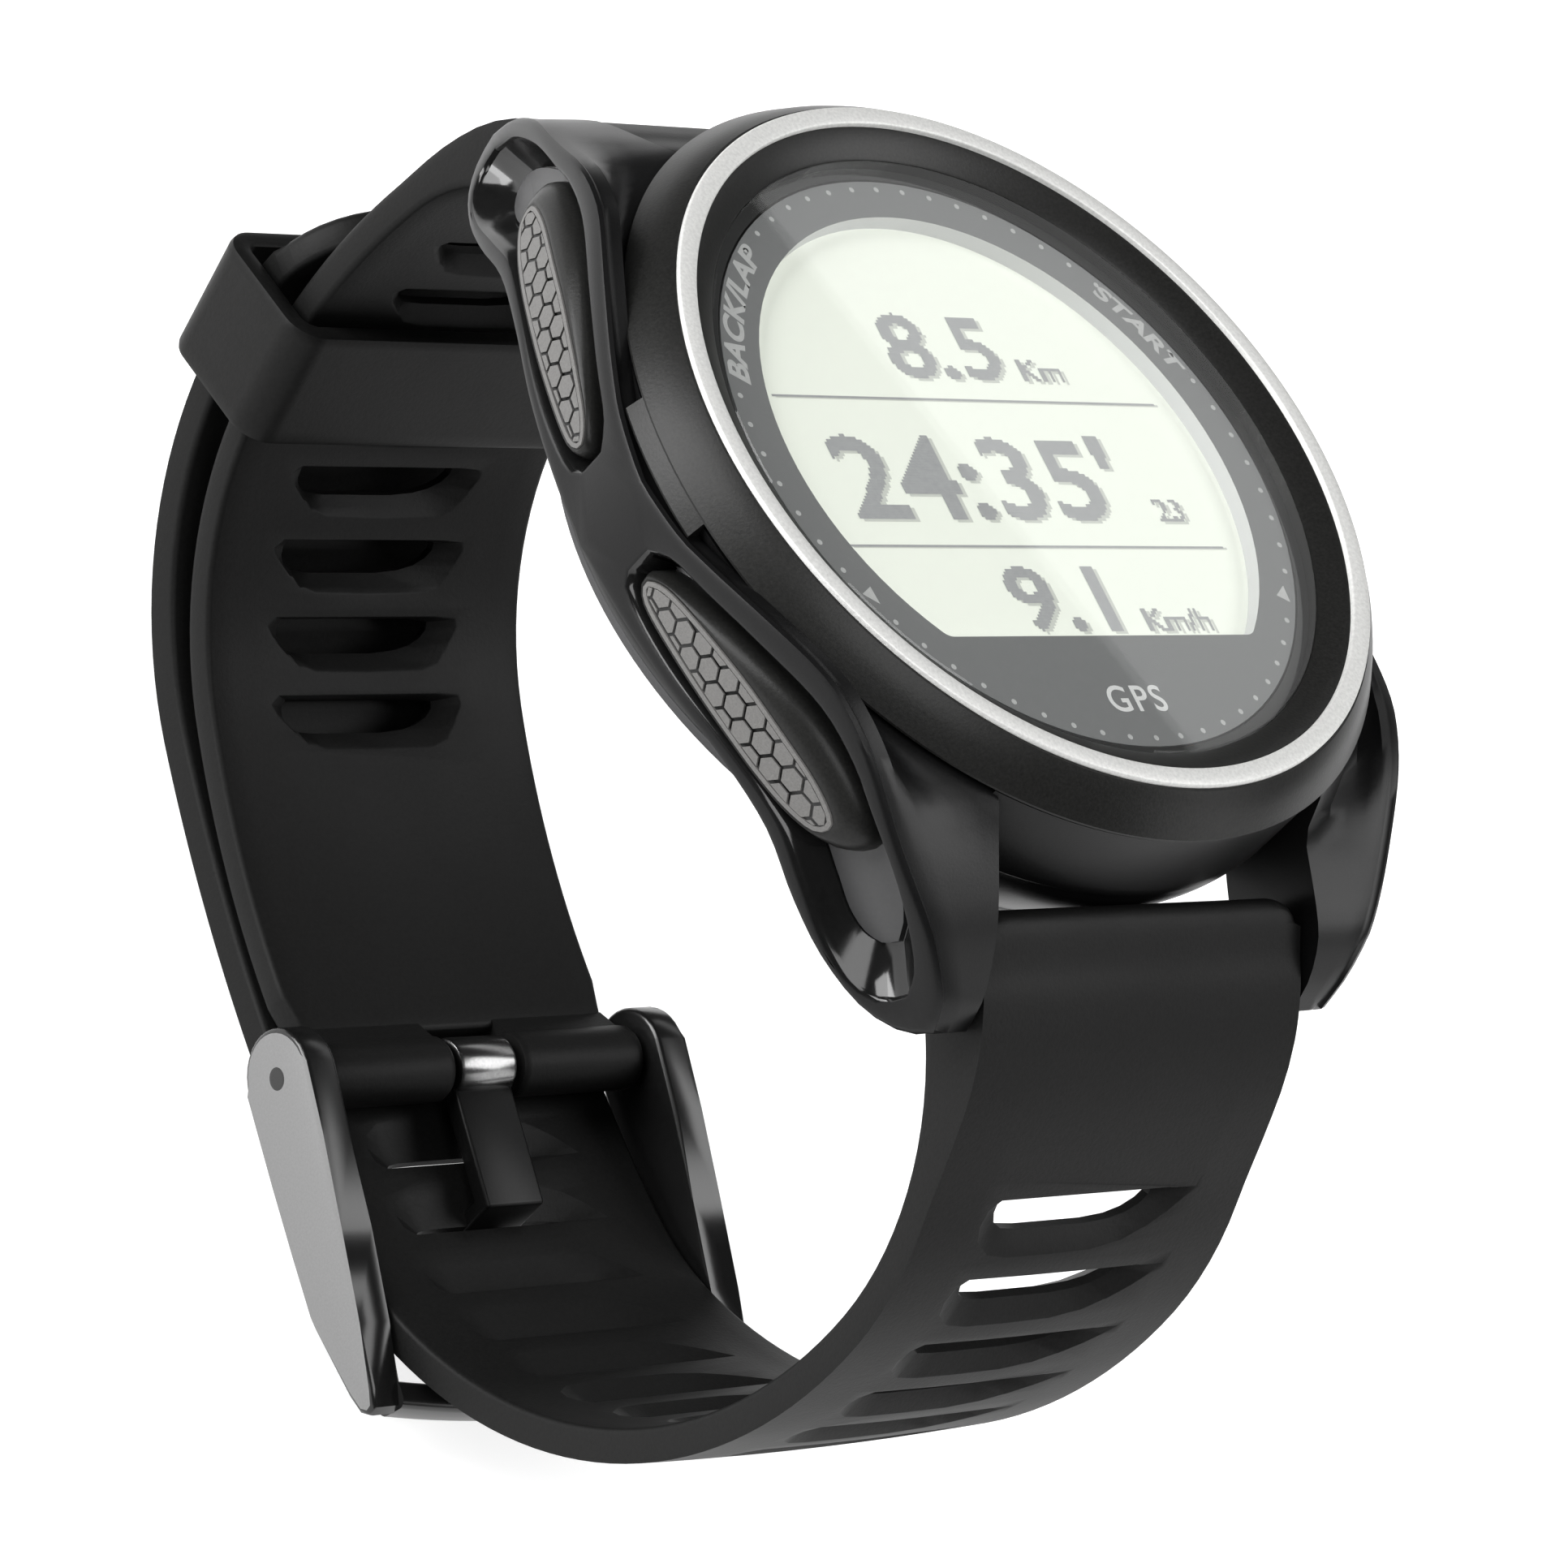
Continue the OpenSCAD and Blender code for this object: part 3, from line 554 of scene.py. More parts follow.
def buildBezel():
    bm = turned([(17.35, 9.4), (17.35, 11.1), (18.12, 11.1), (18.12, 11.93), (18.22, 12.02),
                 (18.9, 12.36), (19.52, 12.68), (19.63, 12.70), (19.63, 12.4), (20.7, 12.4),
                 (20.7, 12.74), (20.84, 12.72), (21.25, 12.36), (21.75, 11.75), (22.15, 11.15),
                 (22.40, 10.78), (22.40, 10.66), (22.30, 10.58), (19.35, 10.58), (19.35, 9.4)])
    skirt = [(21.6, 10.62), (22.38, 10.72), (22.62, 10.1), (22.75, 9.75), (22.7, 9.6), (21.6, 9.6)]
    half = radians(bezel["skirtHalf"])
    for middle in (0, pi):
        verts = ringOf(bm, [(r, 0, z) for r, z in skirt])
        bmesh.ops.rotate(bm, verts=verts, cent=(0, 0, 0), matrix=Matrix.Rotation(middle - half, 3, "Z"))
        bmesh.ops.spin(bm, geom=[bm.faces.new(verts)], cent=(0, 0, 0), axis=(0, 0, 1), angle=2 * half,
                       steps=bezel["skirtSteps"])
    link("bezelBody", bm, [bezelPaint], "case", ["bezel"], sharp=30)
    bm = turned([(19.64, 12.42), (20.69, 12.42), (20.69, 12.90), (20.66, 12.96), (20.60, 13.0),
                 (19.74, 13.0), (19.68, 12.96), (19.64, 12.90)])
    link("bezelRing", bm, [ringPaint], "case", ["bezel_ring"], sharp=40)


buildRails()
buildBarrel()
buildBezel()
print("case and bezel built")


dial = {
    "openRadius": 15.0,
    "openFlat": -10.7,
    "cornerRadius": 0.9,
    "maskTop": 11.29,
    "maskRadius": 17.25,
    "faceTop": 10.42,          # the display lies this high, well below the mask
    "faceBottom": 9.9,
    "faceRadius": 16.1,
    "faceFlat": -12.1,
    "inkAcross": 0.60,         # how far the figures sit off centre
    "inkAlong": 0.36,
    "shadow": (0.24, -0.16),   # where the figures throw their soft shadow
    "ruleWidth": 0.13,
    "dotRadius": 0.16,
    "dotRing": 16.75,
    "noDots": (9, 10, 20, 40, 48, 49, 50, 51, 52),   # minutes taken up by words and pointers
    "pointerRing": 16.5,
    "labelLift": 0.004,
    "wordFoot": -15.2,
    "pixel": 0.17,
}

# figures on the display: left end, foot, height, boldness and width
figures = [("8.5", -4.6, 5.15, 4.0, 0.014, 7.6), ("Km", 4.1, 5.15, 1.35, 0.012, 2.9),
           ("24:35'", -12.1, -3.5, 5.2, 0.015, 19.2), ("23", 8.7, -3.5, 1.4, 0.012, 1.9),
           ("9.1", -4.6, -10.2, 3.9, 0.014, 6.6), ("Km/h", 3.9, -10.2, 1.35, 0.012, 4.6)]
rules = [(3.85, -13.9, 12.6), (-5.1, -13.7, 12.2)]


def openingOutline(radius, flat, corner):
    # a circle cut by a level line, with its two corners rounded
    reach = sqrt((radius - corner) ** 2 - (flat + corner) ** 2)
    start = Vector((reach, flat + corner))
    first = start.to_2d().angle_signed(Vector((1, 0)))
    points = []
    for i in range(73):
        a = first + (pi - 2 * first) * i / 72
        points.append(Vector((radius * cos(a), radius * sin(a))))
    sweepAngle = pi / 2 + first
    for i in range(1, 9):
        a = pi - first + sweepAngle * i / 8
        points.append(Vector((-reach + corner * cos(a), flat + corner + corner * sin(a))))
    for i in range(1, 30):
        points.append(Vector((-reach + 2 * reach * i / 30, flat)))
    for i in range(8):
        a = -pi / 2 + sweepAngle * i / 8
        points.append(Vector((reach + corner * cos(a), flat + corner + corner * sin(a))))
    return points


# Letters as a flat mesh whose lower left corner is at the origin
def wordMesh(word, height, bold, shear=0.0, spacing=1.0):
    curve = bpy.data.curves.new("word", "FONT")
    curve.body = word
    curve.offset = bold
    curve.shear = shear
    curve.space_character = spacing
    curve.resolution_u = 6
    obj = put("word", curve)
    bpy.context.view_layer.update()
    mesh = bpy.data.meshes.new_from_object(obj.evaluated_get(bpy.context.evaluated_depsgraph_get()))
    bpy.data.objects.remove(obj)
    bm = bmesh.new()
    bm.from_mesh(mesh)
    low = [min(v.co[k] for v in bm.verts) for k in range(2)]
    high = [max(v.co[k] for v in bm.verts) for k in range(2)]
    scale = height / (high[1] - low[1])
    for v in bm.verts:
        v.co = ((v.co.x - low[0]) * scale, (v.co.y - low[1]) * scale, 0)
    return bm, (high[0] - low[0]) * scale


def flatBar(bm, x, y, width, height):
    bmesh.ops.create_grid(bm, x_segments=1, y_segments=1, size=0.5,
                          matrix=Matrix.Translation((x, y, 0)) @ Matrix.Diagonal((width, height, 1, 1)))


# Letters made of square dots in rows, as a coarse display shows them
def pixelWord(target, word, x, y, height, bold, width):
    letters, wide = wordMesh(word, height, bold)
    bmesh.ops.scale(letters, vec=(width / wide, 1, 1), verts=letters.verts)
    tree = BVHTree.FromBMesh(letters)
    step = dial["pixel"]
    for row in range(int(height / step) + 1):
        start = None
        for column in range(int(width / step) + 3):
            at = Vector(((column + 0.5) * step, (row + 0.5) * step, 1))
            hit = tree.ray_cast(at, Vector((0, 0, -1)))[0] is not None
            if hit and start is None:
                start = column
            if not hit and start is not None:
                run = (column - start) * step
                flatBar(target, x + start * step + run / 2, y + (row + 0.5) * step, run, step * 0.985)
                start = None
    letters.free()


# Letters that follow an arc, reading clockwise with their tops outwards
def arcWord(target, word, fromAngle, toAngle, low, high, bold, shear, z):
    letters, wide = wordMesh(word, high - low, bold, shear)
    for v in letters.verts:
        a = radians(fromAngle + (toAngle - fromAngle) * v.co.x / wide)
        r = low + v.co.y
        v.co = (r * sin(a), r * cos(a), z)
    pour(letters, target)


def buildDial():
    top = dial["maskTop"]
    bm = bmesh.new()
    opening = openingOutline(dial["openRadius"], dial["openFlat"], dial["cornerRadius"])
    rim = [p.normalized() * dial["maskRadius"] for p in opening]
    ring = ringOf(bm, [(p.x, p.y, dial["faceTop"] - 0.05) for p in inset(opening, 0.04)])
    # the opening's wall takes the lighter second paint, a painted highlight
    ring = pull(bm, ring, [(p.x, p.y, top) for p in opening], 1)
    for share in (0.3, 0.65, 1.0):
        ring = pull(bm, ring, [(*a.lerp(b, share), top) for a, b in zip(opening, rim)])
    pull(bm, ring, [(p.x, p.y, top - 0.2) for p in rim])
    link("dialMask", bm, [maskPaint, litStepPaint], "case", ["dial_mask"], sharp=30)

    bm = bmesh.new()
    labelTop = top + dial["labelLift"]
    for i in range(60):
        if i in dial["noDots"]:
            continue
        a = radians(6 * i)
        at = Vector((dial["dotRing"] * sin(a), dial["dotRing"] * cos(a), labelTop))
        bmesh.ops.create_circle(bm, cap_ends=True, segments=12, radius=dial["dotRadius"],
                                matrix=Matrix.Translation(at))
    for a in (radians(120), radians(240)):
        # a small pointer at 4 and 8 o'clock, aimed outwards
        at = Vector((dial["pointerRing"] * sin(a), dial["pointerRing"] * cos(a), labelTop))
        bmesh.ops.create_circle(bm, cap_ends=True, segments=3, radius=0.62,
                                matrix=Matrix.Translation(at) @ Matrix.Rotation(-a + pi / 2, 4, "Z")
                                @ Matrix.Diagonal((0.8, 1, 1, 1)))
    arcWord(bm, "BACK/LAP", -75.0, -40.5, 15.85, 17.1, 0.035, 0.25, labelTop)
    arcWord(bm, "START", 48.0, 69.5, 15.95, 16.95, 0.035, 0.15, labelTop)
    link("dialLabels", bm, [labelPaint], "case", (), weld=0.0001)

    bm, wide = wordMesh("GPS", 1.55, 0.012, spacing=1.15)
    for v in bm.verts:
        v.co = (v.co.x - wide / 2, v.co.y + dial["wordFoot"], labelTop)
    link("dialWord", bm, [brightLabelPaint], "case", (), weld=0.0001)

    bm = bmesh.new()
    face = openingOutline(dial["faceRadius"], dial["faceFlat"], 1.0)
    prism(bm, face, dial["faceBottom"], dial["faceTop"], lambda a, b, h: (a, b, h))
    # the panel wears the faintly glowing face paint, painted light
    link("displayPanel", bm, [glowingFacePaint], "case", ["display"])

    for name, away, lift, paint in (("displayInk", 0, 0.02, inkPaint),
                                    ("displayInkShadow", 1, 0.01, inkShadowPaint)):
        bm = bmesh.new()
        shadowX, shadowY = (away * d for d in dial["shadow"])
        dx, dy = dial["inkAcross"] + shadowX, dial["inkAlong"] + shadowY
        for word, x, y, height, bold, width in figures:
            pixelWord(bm, word, x + dx, y + dy, height, bold, width)
        for y, x0, x1 in rules:
            flatBar(bm, (x0 + x1) / 2 + dx, y + dy - shadowY * 0.6, x1 - x0, dial["ruleWidth"])
        for v in bm.verts:
            v.co.z = dial["faceTop"] + lift
        link(name, bm, [paint], "case", (), weld=0.0001)

    bm = turned([(0.0, 11.32), (18.08, 11.32), (18.08, 11.92), (18.0, 12.0), (0.0, 12.0)])
    link("lensGlass", bm, [lensPaint()], "case", ["lens"], sharp=30)


buildDial()
print("dial built")


button = {
    "shoulder": 1.15,     # how far the cap's edge lies behind the rail
    "padHeight": 0.10,    # tiles stand this far out of the grooves
    "padRim": 0.26,       # width of the plain rim round the tiles
    "cell": 1.22,         # honeycomb cell across its flats
    "groove": 0.17,
    "crumb": 0.04,        # cut tiles smaller than this are left out
    "cellsFrom": (3.0, 4.4),
    "cells": (22, 6),
    "points": 72,
}

capLine = [(3.35, 6.5), (4.2, 7.3), (6.0, 8.1), (9, 8.95), (12.8, 9.6), (15.8, 9.45), (18.2, 8.6),
           (19.4, 7.5), (19.5, 6.5), (18.9, 5.7), (17.6, 5.2), (15.7, 5.08), (12.1, 5.2), (8.3, 5.3),
           (5.0, 5.4), (3.7, 5.7)]
padLine = [(4.0, 6.5), (5.2, 7.35), (7.9, 7.95), (11, 8.25), (13.7, 8.15), (16.3, 7.85), (18.0, 7.2),
           (18.35, 6.5), (17.8, 5.75), (16.2, 5.42), (14.2, 5.38), (12.1, 5.45), (8.3, 5.52),
           (5.3, 5.6), (4.3, 5.85)]


def buildButton(hour):
    sx, sy = (1 if hour < 6 else -1), (1 if hour in (2, 10) else -1)

    def on(points, depth):
        return onRail(points, depth, sx, sy)

    count = button["points"]
    body = smoothLine(capLine, count, True)
    pad = smoothLine(padLine, count, True)
    # cap: walls out of the rail, a rounded shoulder, then a low dome up to the pad
    deep = button["shoulder"]
    grown = inset(pad, -0.12)
    rings = [on(inset(body, 0.1), 2.3), on(body, deep + 0.5), on(inset(body, 0.03), deep)]
    for share, depth in ((0.12, 0.70), (0.35, 0.42), (0.62, 0.20), (0.85, 0.08), (1.0, 0.05)):
        rings.append(on([a.lerp(b, share) for a, b in zip(body, grown)], depth))
    rings.append(on(inset(pad, 0.02), 0.10))
    bm = bmesh.new()
    loft(bm, rings)
    settle(bm)
    link(f"buttonCap{hour}", bm, [capPaint], f"button_{hour}", [f"button_cap_{hour}"],
         sharp=40)

    # pad: a rim with honeycomb tiles inside it over a dark bed
    bm = bmesh.new()
    border = inset(pad, button["padRim"])
    loft(bm, [on(pad, 0.12), on(inset(pad, 0.03), 0.0), on(border, 0.0),
              on(inset(pad, button["padRim"] + 0.03), 0.12)], capped=False)
    tiles = bmesh.new()
    step = button["cell"]
    size = (step - button["groove"]) / sqrt(3)
    across = step * sqrt(3) / 2
    y0, z0 = button["cellsFrom"]
    for i in range(button["cells"][0]):
        for k in range(button["cells"][1]):
            at = Vector((y0 + i * across, z0 + k * step + (step / 2 if i % 2 else 0), 0))
            bmesh.ops.create_circle(tiles, cap_ends=True, segments=6, radius=size,
                                    matrix=Matrix.Translation(at) @ Matrix.Rotation(pi / 6, 4, "Z"))
    middle = sum(border, Vector((0, 0))) / count
    limit = inset(border, 0.03)
    for i in range(0, count, 2):
        a, b = limit[i - 2], limit[i]
        normal = Vector((b.y - a.y, a.x - b.x, 0)).normalized()
        if normal.dot(Vector((*(a - middle), 0))) < 0:
            normal.negate()
        cutAt(tiles, Vector((a.x, a.y, 0)), normal, True)
    crumbs = [f for f in tiles.faces if f.calc_area() < button["crumb"]]
    bmesh.ops.delete(tiles, geom=crumbs, context="FACES")
    for g in bmesh.ops.extrude_face_region(tiles, geom=tiles.faces[:])["geom"]:
        if isinstance(g, bmesh.types.BMVert):
            g.co.z = button["padHeight"]
    for v in tiles.verts:
        y, z, h = v.co
        v.co = (sx * (railX(y) - button["padHeight"] + h), sy * y, z)
    pour(tiles, bm)
    bed = ringOf(bm, on(inset(pad, 0.28), 0.085))
    cap(bm, bed, 1)
    settle(bm)
    link(f"buttonPad{hour}", bm, [padPaint, groovePaint], f"button_{hour}", [f"button_pad_{hour}"],
         sharp=30, weld=0.0005)


for hour in (2, 4, 8, 10):
    buildButton(hour)
print("buttons built")


strap = {
    "half": 11.0,
    "thick": 2.0,
    "edgeOuter": 0.55,    # rounding along the outer edges
    "edgeInner": 0.35,
    "crown": 0.22,        # how much lower the outer face is at its edges
    "mouthEdge": 0.16,
    "tight": 0.3,         # how narrow the throats are from the buckle to the tip
    "start": -5.18,       # the end inside the lugs, measured from where the strap leaves them
    "startCorner": 1.5,
    "tipCorner": 5.0,
    "wrapFrom": -1.73,    # before this the end rounds off past the spring bar
    "wrapHalf": 2.4,
    "wrapMiddle": 2.05,
    "wrapRise": 1.5,
    "fade": 11.0,         # the swelling round the bar fades out over this length
}

longWay = {"start": (-24.9, -0.7, 210), "arcs": [(17, 55), (28, 72), (16, 22), (94, 18), (20.7, 88)],
           "side": -1, "first": 8.06, "pitch": 4.12, "slots": 22, "length": 118.97,
           "narrowFrom": 9}
shortWay = {"start": (24.9, -0.7, -30), "arcs": [(10, -49), (38, -24.5), (19, -54), (53, -19.5)],
            "side": 1, "first": 7.6, "pitch": 4.25, "slots": 9, "length": 60.75, "narrowFrom": 99}

# slot outlines: x across the strap, then the distance from the edge nearer the lug
bladeMouth = [(-6.3, 0.0), (-3.0, 0.0), (0.0, 0.0), (3.0, 0.0), (5.5, 0.02), (7.3, 0.1), (6.7, 0.62),
              (5.8, 1.3), (4.6, 2.0), (3.2, 2.6), (1.2, 2.95), (-1.6, 3.0), (-4.4, 3.0), (-5.9, 2.8),
              (-6.9, 2.1), (-7.15, 1.3), (-6.95, 0.5)]
wedgeMouth = [(-6.3, 0.0), (-3.0, 0.0), (0.0, 0.0), (3.0, 0.0), (5.0, 0.0), (6.4, 0.12), (6.5, 0.62),
              (6.0, 1.35), (5.5, 2.05), (4.9, 2.65), (3.9, 2.95), (0.0, 3.0), (-3.6, 2.95), (-4.7, 2.7),
              (-5.5, 2.05), (-6.5, 1.1), (-6.9, 0.45)]
throughSlot = [(-5.3, 0.12), (-3.0, 0.12), (0.0, 0.12), (2.4, 0.12), (3.9, 0.14), (4.9, 0.3), (4.85, 0.7),
               (4.4, 1.15), (3.6, 1.55), (2.6, 1.8), (1.0, 1.95), (-1.4, 1.95), (-3.6, 1.95),
               (-4.9, 1.85), (-5.5, 1.5), (-5.7, 1.0), (-5.65, 0.45)]


def station(way, s):
    y, z, heading = way["start"]
    h = radians(heading)
    if s < 0:
        return y + cos(h) * s, z + sin(h) * s, h
    for radius, turn in way["arcs"]:
        run = min(s, radius * abs(radians(turn)))
        side = radius if turn > 0 else -radius
        middleY, middleZ = y - side * sin(h), z + side * cos(h)
        h += run / side
        y, z = middleY + side * sin(h), middleZ - side * cos(h)
        s -= run
    return y + cos(h) * s, z + sin(h) * s, h


# A point at s along a strap and h out from its wrist side
def onStrap(way, x, s, h):
    y, z, heading = station(way, s)
    return (x, y - way["side"] * h * sin(heading), z + way["side"] * h * cos(heading))


def knuckle(s):
    # lowest and highest surface of the strap where it wraps the spring bar
    thick, half, middle = strap["thick"], strap["wrapHalf"], strap["wrapMiddle"]
    past = s - strap["wrapFrom"]
    if past < 0:
        t = min(1.0, past / (strap["start"] - strap["wrapFrom"]))
        half *= (1 - t ** 2.6) ** (1 / 2.2)
        middle += strap["wrapRise"] * t * t
        return middle - half, middle + half
    low = (middle - half) * (1 - ease(past / -strap["wrapFrom"]))
    return low, thick + (middle + half - thick) * (1 - ease(past / strap["fade"]))


def buildStrap(way, end, mouthIn):
    half, thick = strap["half"], strap["thick"]
    start, corner = strap["start"], strap["startCorner"]
    arc = [(corner * sin(pi / 2 * i / 6), corner * cos(pi / 2 * i / 6)) for i in range(7)]
    outline = [(corner - half - c, start + corner - s) for s, c in arc]
    outline += [(half - corner + s, start + corner - c) for s, c in arc]
    outline += end(half, way["length"])
    bm = bmesh.new()
    ring = ringOf(bm, [(x, s, 0) for x, s in outline])
    cap(bm, ring)
    ring = pull(bm, ring, [(x, s, thick) for x, s in outline])
    topFace = cap(bm, ring)
    roundOff(bm, list(topFace.edges), strap["edgeOuter"], 4)
    bottomEdges = [e for e in bm.edges if all(abs(v.co.z) < 1e-5 for v in e.verts)]
    roundOff(bm, bottomEdges, strap["edgeInner"], 3)
    tool = bmesh.new()
    for i in range(way["slots"]):
        s0 = way["first"] + i * way["pitch"]
        tight = strap["tight"] if i >= way["narrowFrom"] else 1.0
        nearEdge = throughSlot[0][1]
        throat = [(x, nearEdge + (d - nearEdge) * tight) for x, d in throughSlot]

        def at(points, h):
            return [(x, s0 + d, h) for x, d in points]

        def beyond(mouth, share=1.25):
            # the mouth as it would be a little past the strap's face
            return [(t[0] + (m[0] - t[0]) * share, t[1] + (m[1] - t[1]) * share)
                    for m, t in zip(mouth, throat)]

        loft(tool, [at(beyond(mouthIn), -0.2), at(throat, 0.75), at(throat, 1.25),
                    at(beyond(bladeMouth), thick + 0.2)])
    bm = carved(bm, tool)
    bmesh.ops.dissolve_limit(bm, angle_limit=0.01, verts=bm.verts, edges=bm.edges)
    mouths = [e for e in hardEdges(bm, 25) if all(abs(v.co.x) < 8 for v in e.verts)
              and any(all(abs(v.co.z - face) < 1e-3 for v in e.verts) for face in (0, thick))]
    roundOff(bm, mouths, strap["mouthEdge"], 2)
    # cuts across it let the strap bend, closest together round the spring bar
    cuts = [start + 0.01 + 0.9 * (i / 14) ** 2 for i in range(14)]
    cuts += [start + 1.0 + 0.3 * i for i in range(19)]
    s = 1.6
    while s < way["length"] + 1:
        cuts.append(s)
        s += 1.1
    for s in cuts:
        cutAt(bm, (0, s, 0), (0, 1, 0))
    for x in (-9.2, -7.6, 7.6, 9.2):
        cutAt(bm, (x, 0, 0), (1, 0, 0))
    for v in bm.verts:
        x, s, h = v.co
        low, high = knuckle(s)
        rise = low + (high - low) * h / thick
        rise -= strap["crown"] * (x / half) ** 2 * (h / thick) * min(1, max(0, s + 1) / 6)
        v.co = onStrap(way, x, s, rise)
    return bm


def roundTip(half, length):
    corner = strap["tipCorner"]
    points = []
    for side, first in ((1, 0), (-1, pi / 2)):
        for i in range(9):
            a = first + pi / 2 * i / 8
            points.append((side * (half - corner) + corner * cos(a), length + 1.0 + corner * (sin(a) - 1)))
    return points


def squareTip(half, length):
    return [(half, length - 2.2), (half - 0.55, length + 0.3), (-half + 0.55, length + 0.3),
            (-half, length - 2.2)]


bm = buildStrap(longWay, roundTip, bladeMouth)
link("strapLong", bm, [rubberPaint], "strap_long", ["strap_long"], sharp=34)

pinAt = (-1.934, -40.990)   # the buckle's pin, along and up
tube = {
    "radius": 1.8,
    "notch": 2.45,        # half the gap left for the tongue
    "end": 10.95,
}

bm = buildStrap(shortWay, squareTip, wedgeMouth)
# the end wraps the buckle pin as a tube with a notch for the tongue
for side in (-1, 1):
    near, far = tube["notch"] * side, tube["end"] * side
    rings = []
    for share, r in ((0.0, 0.75), (0.0, 0.93), (0.018, 0.985), (0.05, 1.0), (0.95, 1.0), (0.982, 0.985),
                     (1.0, 0.93), (1.0, 0.75)):
        rings.append(circle(near + (far - near) * share, pinAt, tube["radius"] * r, 40))
    loft(bm, rings)
    # web between the strap's end and the tube
    web = [onStrap(shortWay, 0, shortWay["length"] - 0.2, h)[1:] for h in (0.05, 1.9)]
    web += [(pinAt[0] + 0.5, pinAt[1] - 1.72), (pinAt[0] + 0.3, pinAt[1] + 1.6)]
    loft(bm, [[(x, *p) for p in web] for x in (near + 0.15 * side, far - 0.45 * side)])
link("strapShort", bm, [rubberPaint], "strap_short", ["strap_short"], sharp=34,
     weld=0.0005)
print("straps built")


keeper = {
    "middle": (32.326, -21.871),
    "lean": -103.18,
    "inside": (22.8, 6.7),
    "wall": 1.2,
    "long": 7.3,
    "cornerOut": 1.9,
    "cornerIn": 0.7,
}


def roundedRing(w, h, r, count=10):
    points = []
    for cx, cy, first in ((1, 1, 0), (-1, 1, pi / 2), (-1, -1, pi), (1, -1, 1.5 * pi)):
        for i in range(count + 1):
            a = first + pi / 2 * i / count
            points.append(Vector((cx * (w / 2 - r) + r * cos(a), cy * (h / 2 - r) + r * sin(a))))
    return points


def buildKeeper():
    w, h = keeper["inside"]
    t = keeper["wall"]
    a = radians(keeper["lean"])
    half = keeper["long"] / 2
    y0, z0 = keeper["middle"]

    def at(points, along):
        # across the strap is X; the ring's height is square to the way the strap runs
        return [(p.x, y0 + along * cos(a) - p.y * sin(a), z0 + along * sin(a) + p.y * cos(a))
                for p in points]

    outer = roundedRing(w + 2 * t, h + 2 * t, keeper["cornerOut"])
    inner = roundedRing(w, h, keeper["cornerIn"])
    # round the section: 0 is the outside, 1 the inside, then the place along the strap
    steps = [(0.5, -half), (0.25, -half), (0.08, 0.08 - half), (0.0, 0.35 - half), (0.0, 0.65 - half),
             (0.0, 1.0 - half), (0.0, half - 1.0), (0.0, half - 0.35), (0.08, half - 0.08), (0.25, half),
             (0.5, half), (0.85, half), (1.0, half - 0.15), (1.0, 0.15 - half), (0.85, -half)]
    rings = [at([p.lerp(q, share) for p, q in zip(outer, inner)], along) for share, along in steps]
    bm = bmesh.new()
    ring = loft(bm, rings, capped=False)
    pull(bm, ring, rings[0])
    link("keeperLoop", bm, [keeperPaint], "keeper", ["keeper"], sharp=40)


buildKeeper()

buckle = {
    "bar": (-19.457, -44.759),
    "plate": 2.0,
    "gap": 11.3,
    "eye": 2.7,           # the plates are this round about the pin
    "barHalf": 11.6,
    "bow": 1.0,           # how far the bar is bowed away from the pin
    "edge": 0.28,
}


def buildBuckle():
    pin, bar = Vector(pinAt), Vector(buckle["bar"])
    along = (bar - pin).normalized()
    up = Vector((along.y, -along.x))
    span = (bar - pin).length

    def at(x, u, v):
        p = pin + along * u + up * v
        return (x, p.x, p.y)

    outline = []
    for i in range(17):
        a = pi / 2 + pi * i / 16
        outline.append((buckle["eye"] * cos(a), buckle["eye"] * sin(a)))
    # straight on the wrist side, kinked towards the bar on the other
    outline += [(5.0, -2.66), (9.0, -2.55), (12.4, -2.4), (13.1, -2.25), (span - 0.7, -1.15),
                (span + 0.35, -0.65), (span + 0.7, 0.0), (span + 0.45, 0.6), (span - 0.5, 0.9),
                (14.0, 1.3), (9.0, 1.9), (4.0, 2.45)]
    bm = bmesh.new()
    for side in (-1, 1):
        x0, x1 = side * buckle["gap"], side * (buckle["gap"] + buckle["plate"])
        ring = ringOf(bm, [at(x0, u, v) for u, v in outline])
        inner = cap(bm, ring, 1)
        ring = pull(bm, ring, [at(x1, u, v) for u, v in outline], 1)
        outer = cap(bm, ring, 0)
        roundOff(bm, list(outer.edges) + list(inner.edges), buckle["edge"], 3, 1)
        # a small dimple where the pin ends
        rings = []
        for r, dx in ((0.62, 0.0), (0.5, 0.012), (0.42, 0.012)):
            rings.append([at(*p) for p in circle(x1 + side * dx, (0, 0), r, 24)])
        loft(bm, rings, material=1)
    # far bar, bowed away from the pin
    section = roundedRing(1.5, 2.2, 0.5, 4)
    rings = []
    for i in range(25):
        share = i / 12 - 1
        out = buckle["bow"] * (1 - share ** 2)
        rings.append([at(buckle["barHalf"] * share, span + out - 0.1 + p.x, p.y) for p in section])
    loft(bm, rings, material=1)
    link("buckleFrame", bm, [platePaint, plateEdgePaint], "buckle", ["buckle_frame"],
         sharp=36)


tongue = {
    "slot": 12,           # the slot it goes through, counted from the lugs
    "slack": 0.55,
    "thick": 0.9,
    "half": 2.0,
    "clear": 2.45,        # how far out of the strap it turns towards the bar
}


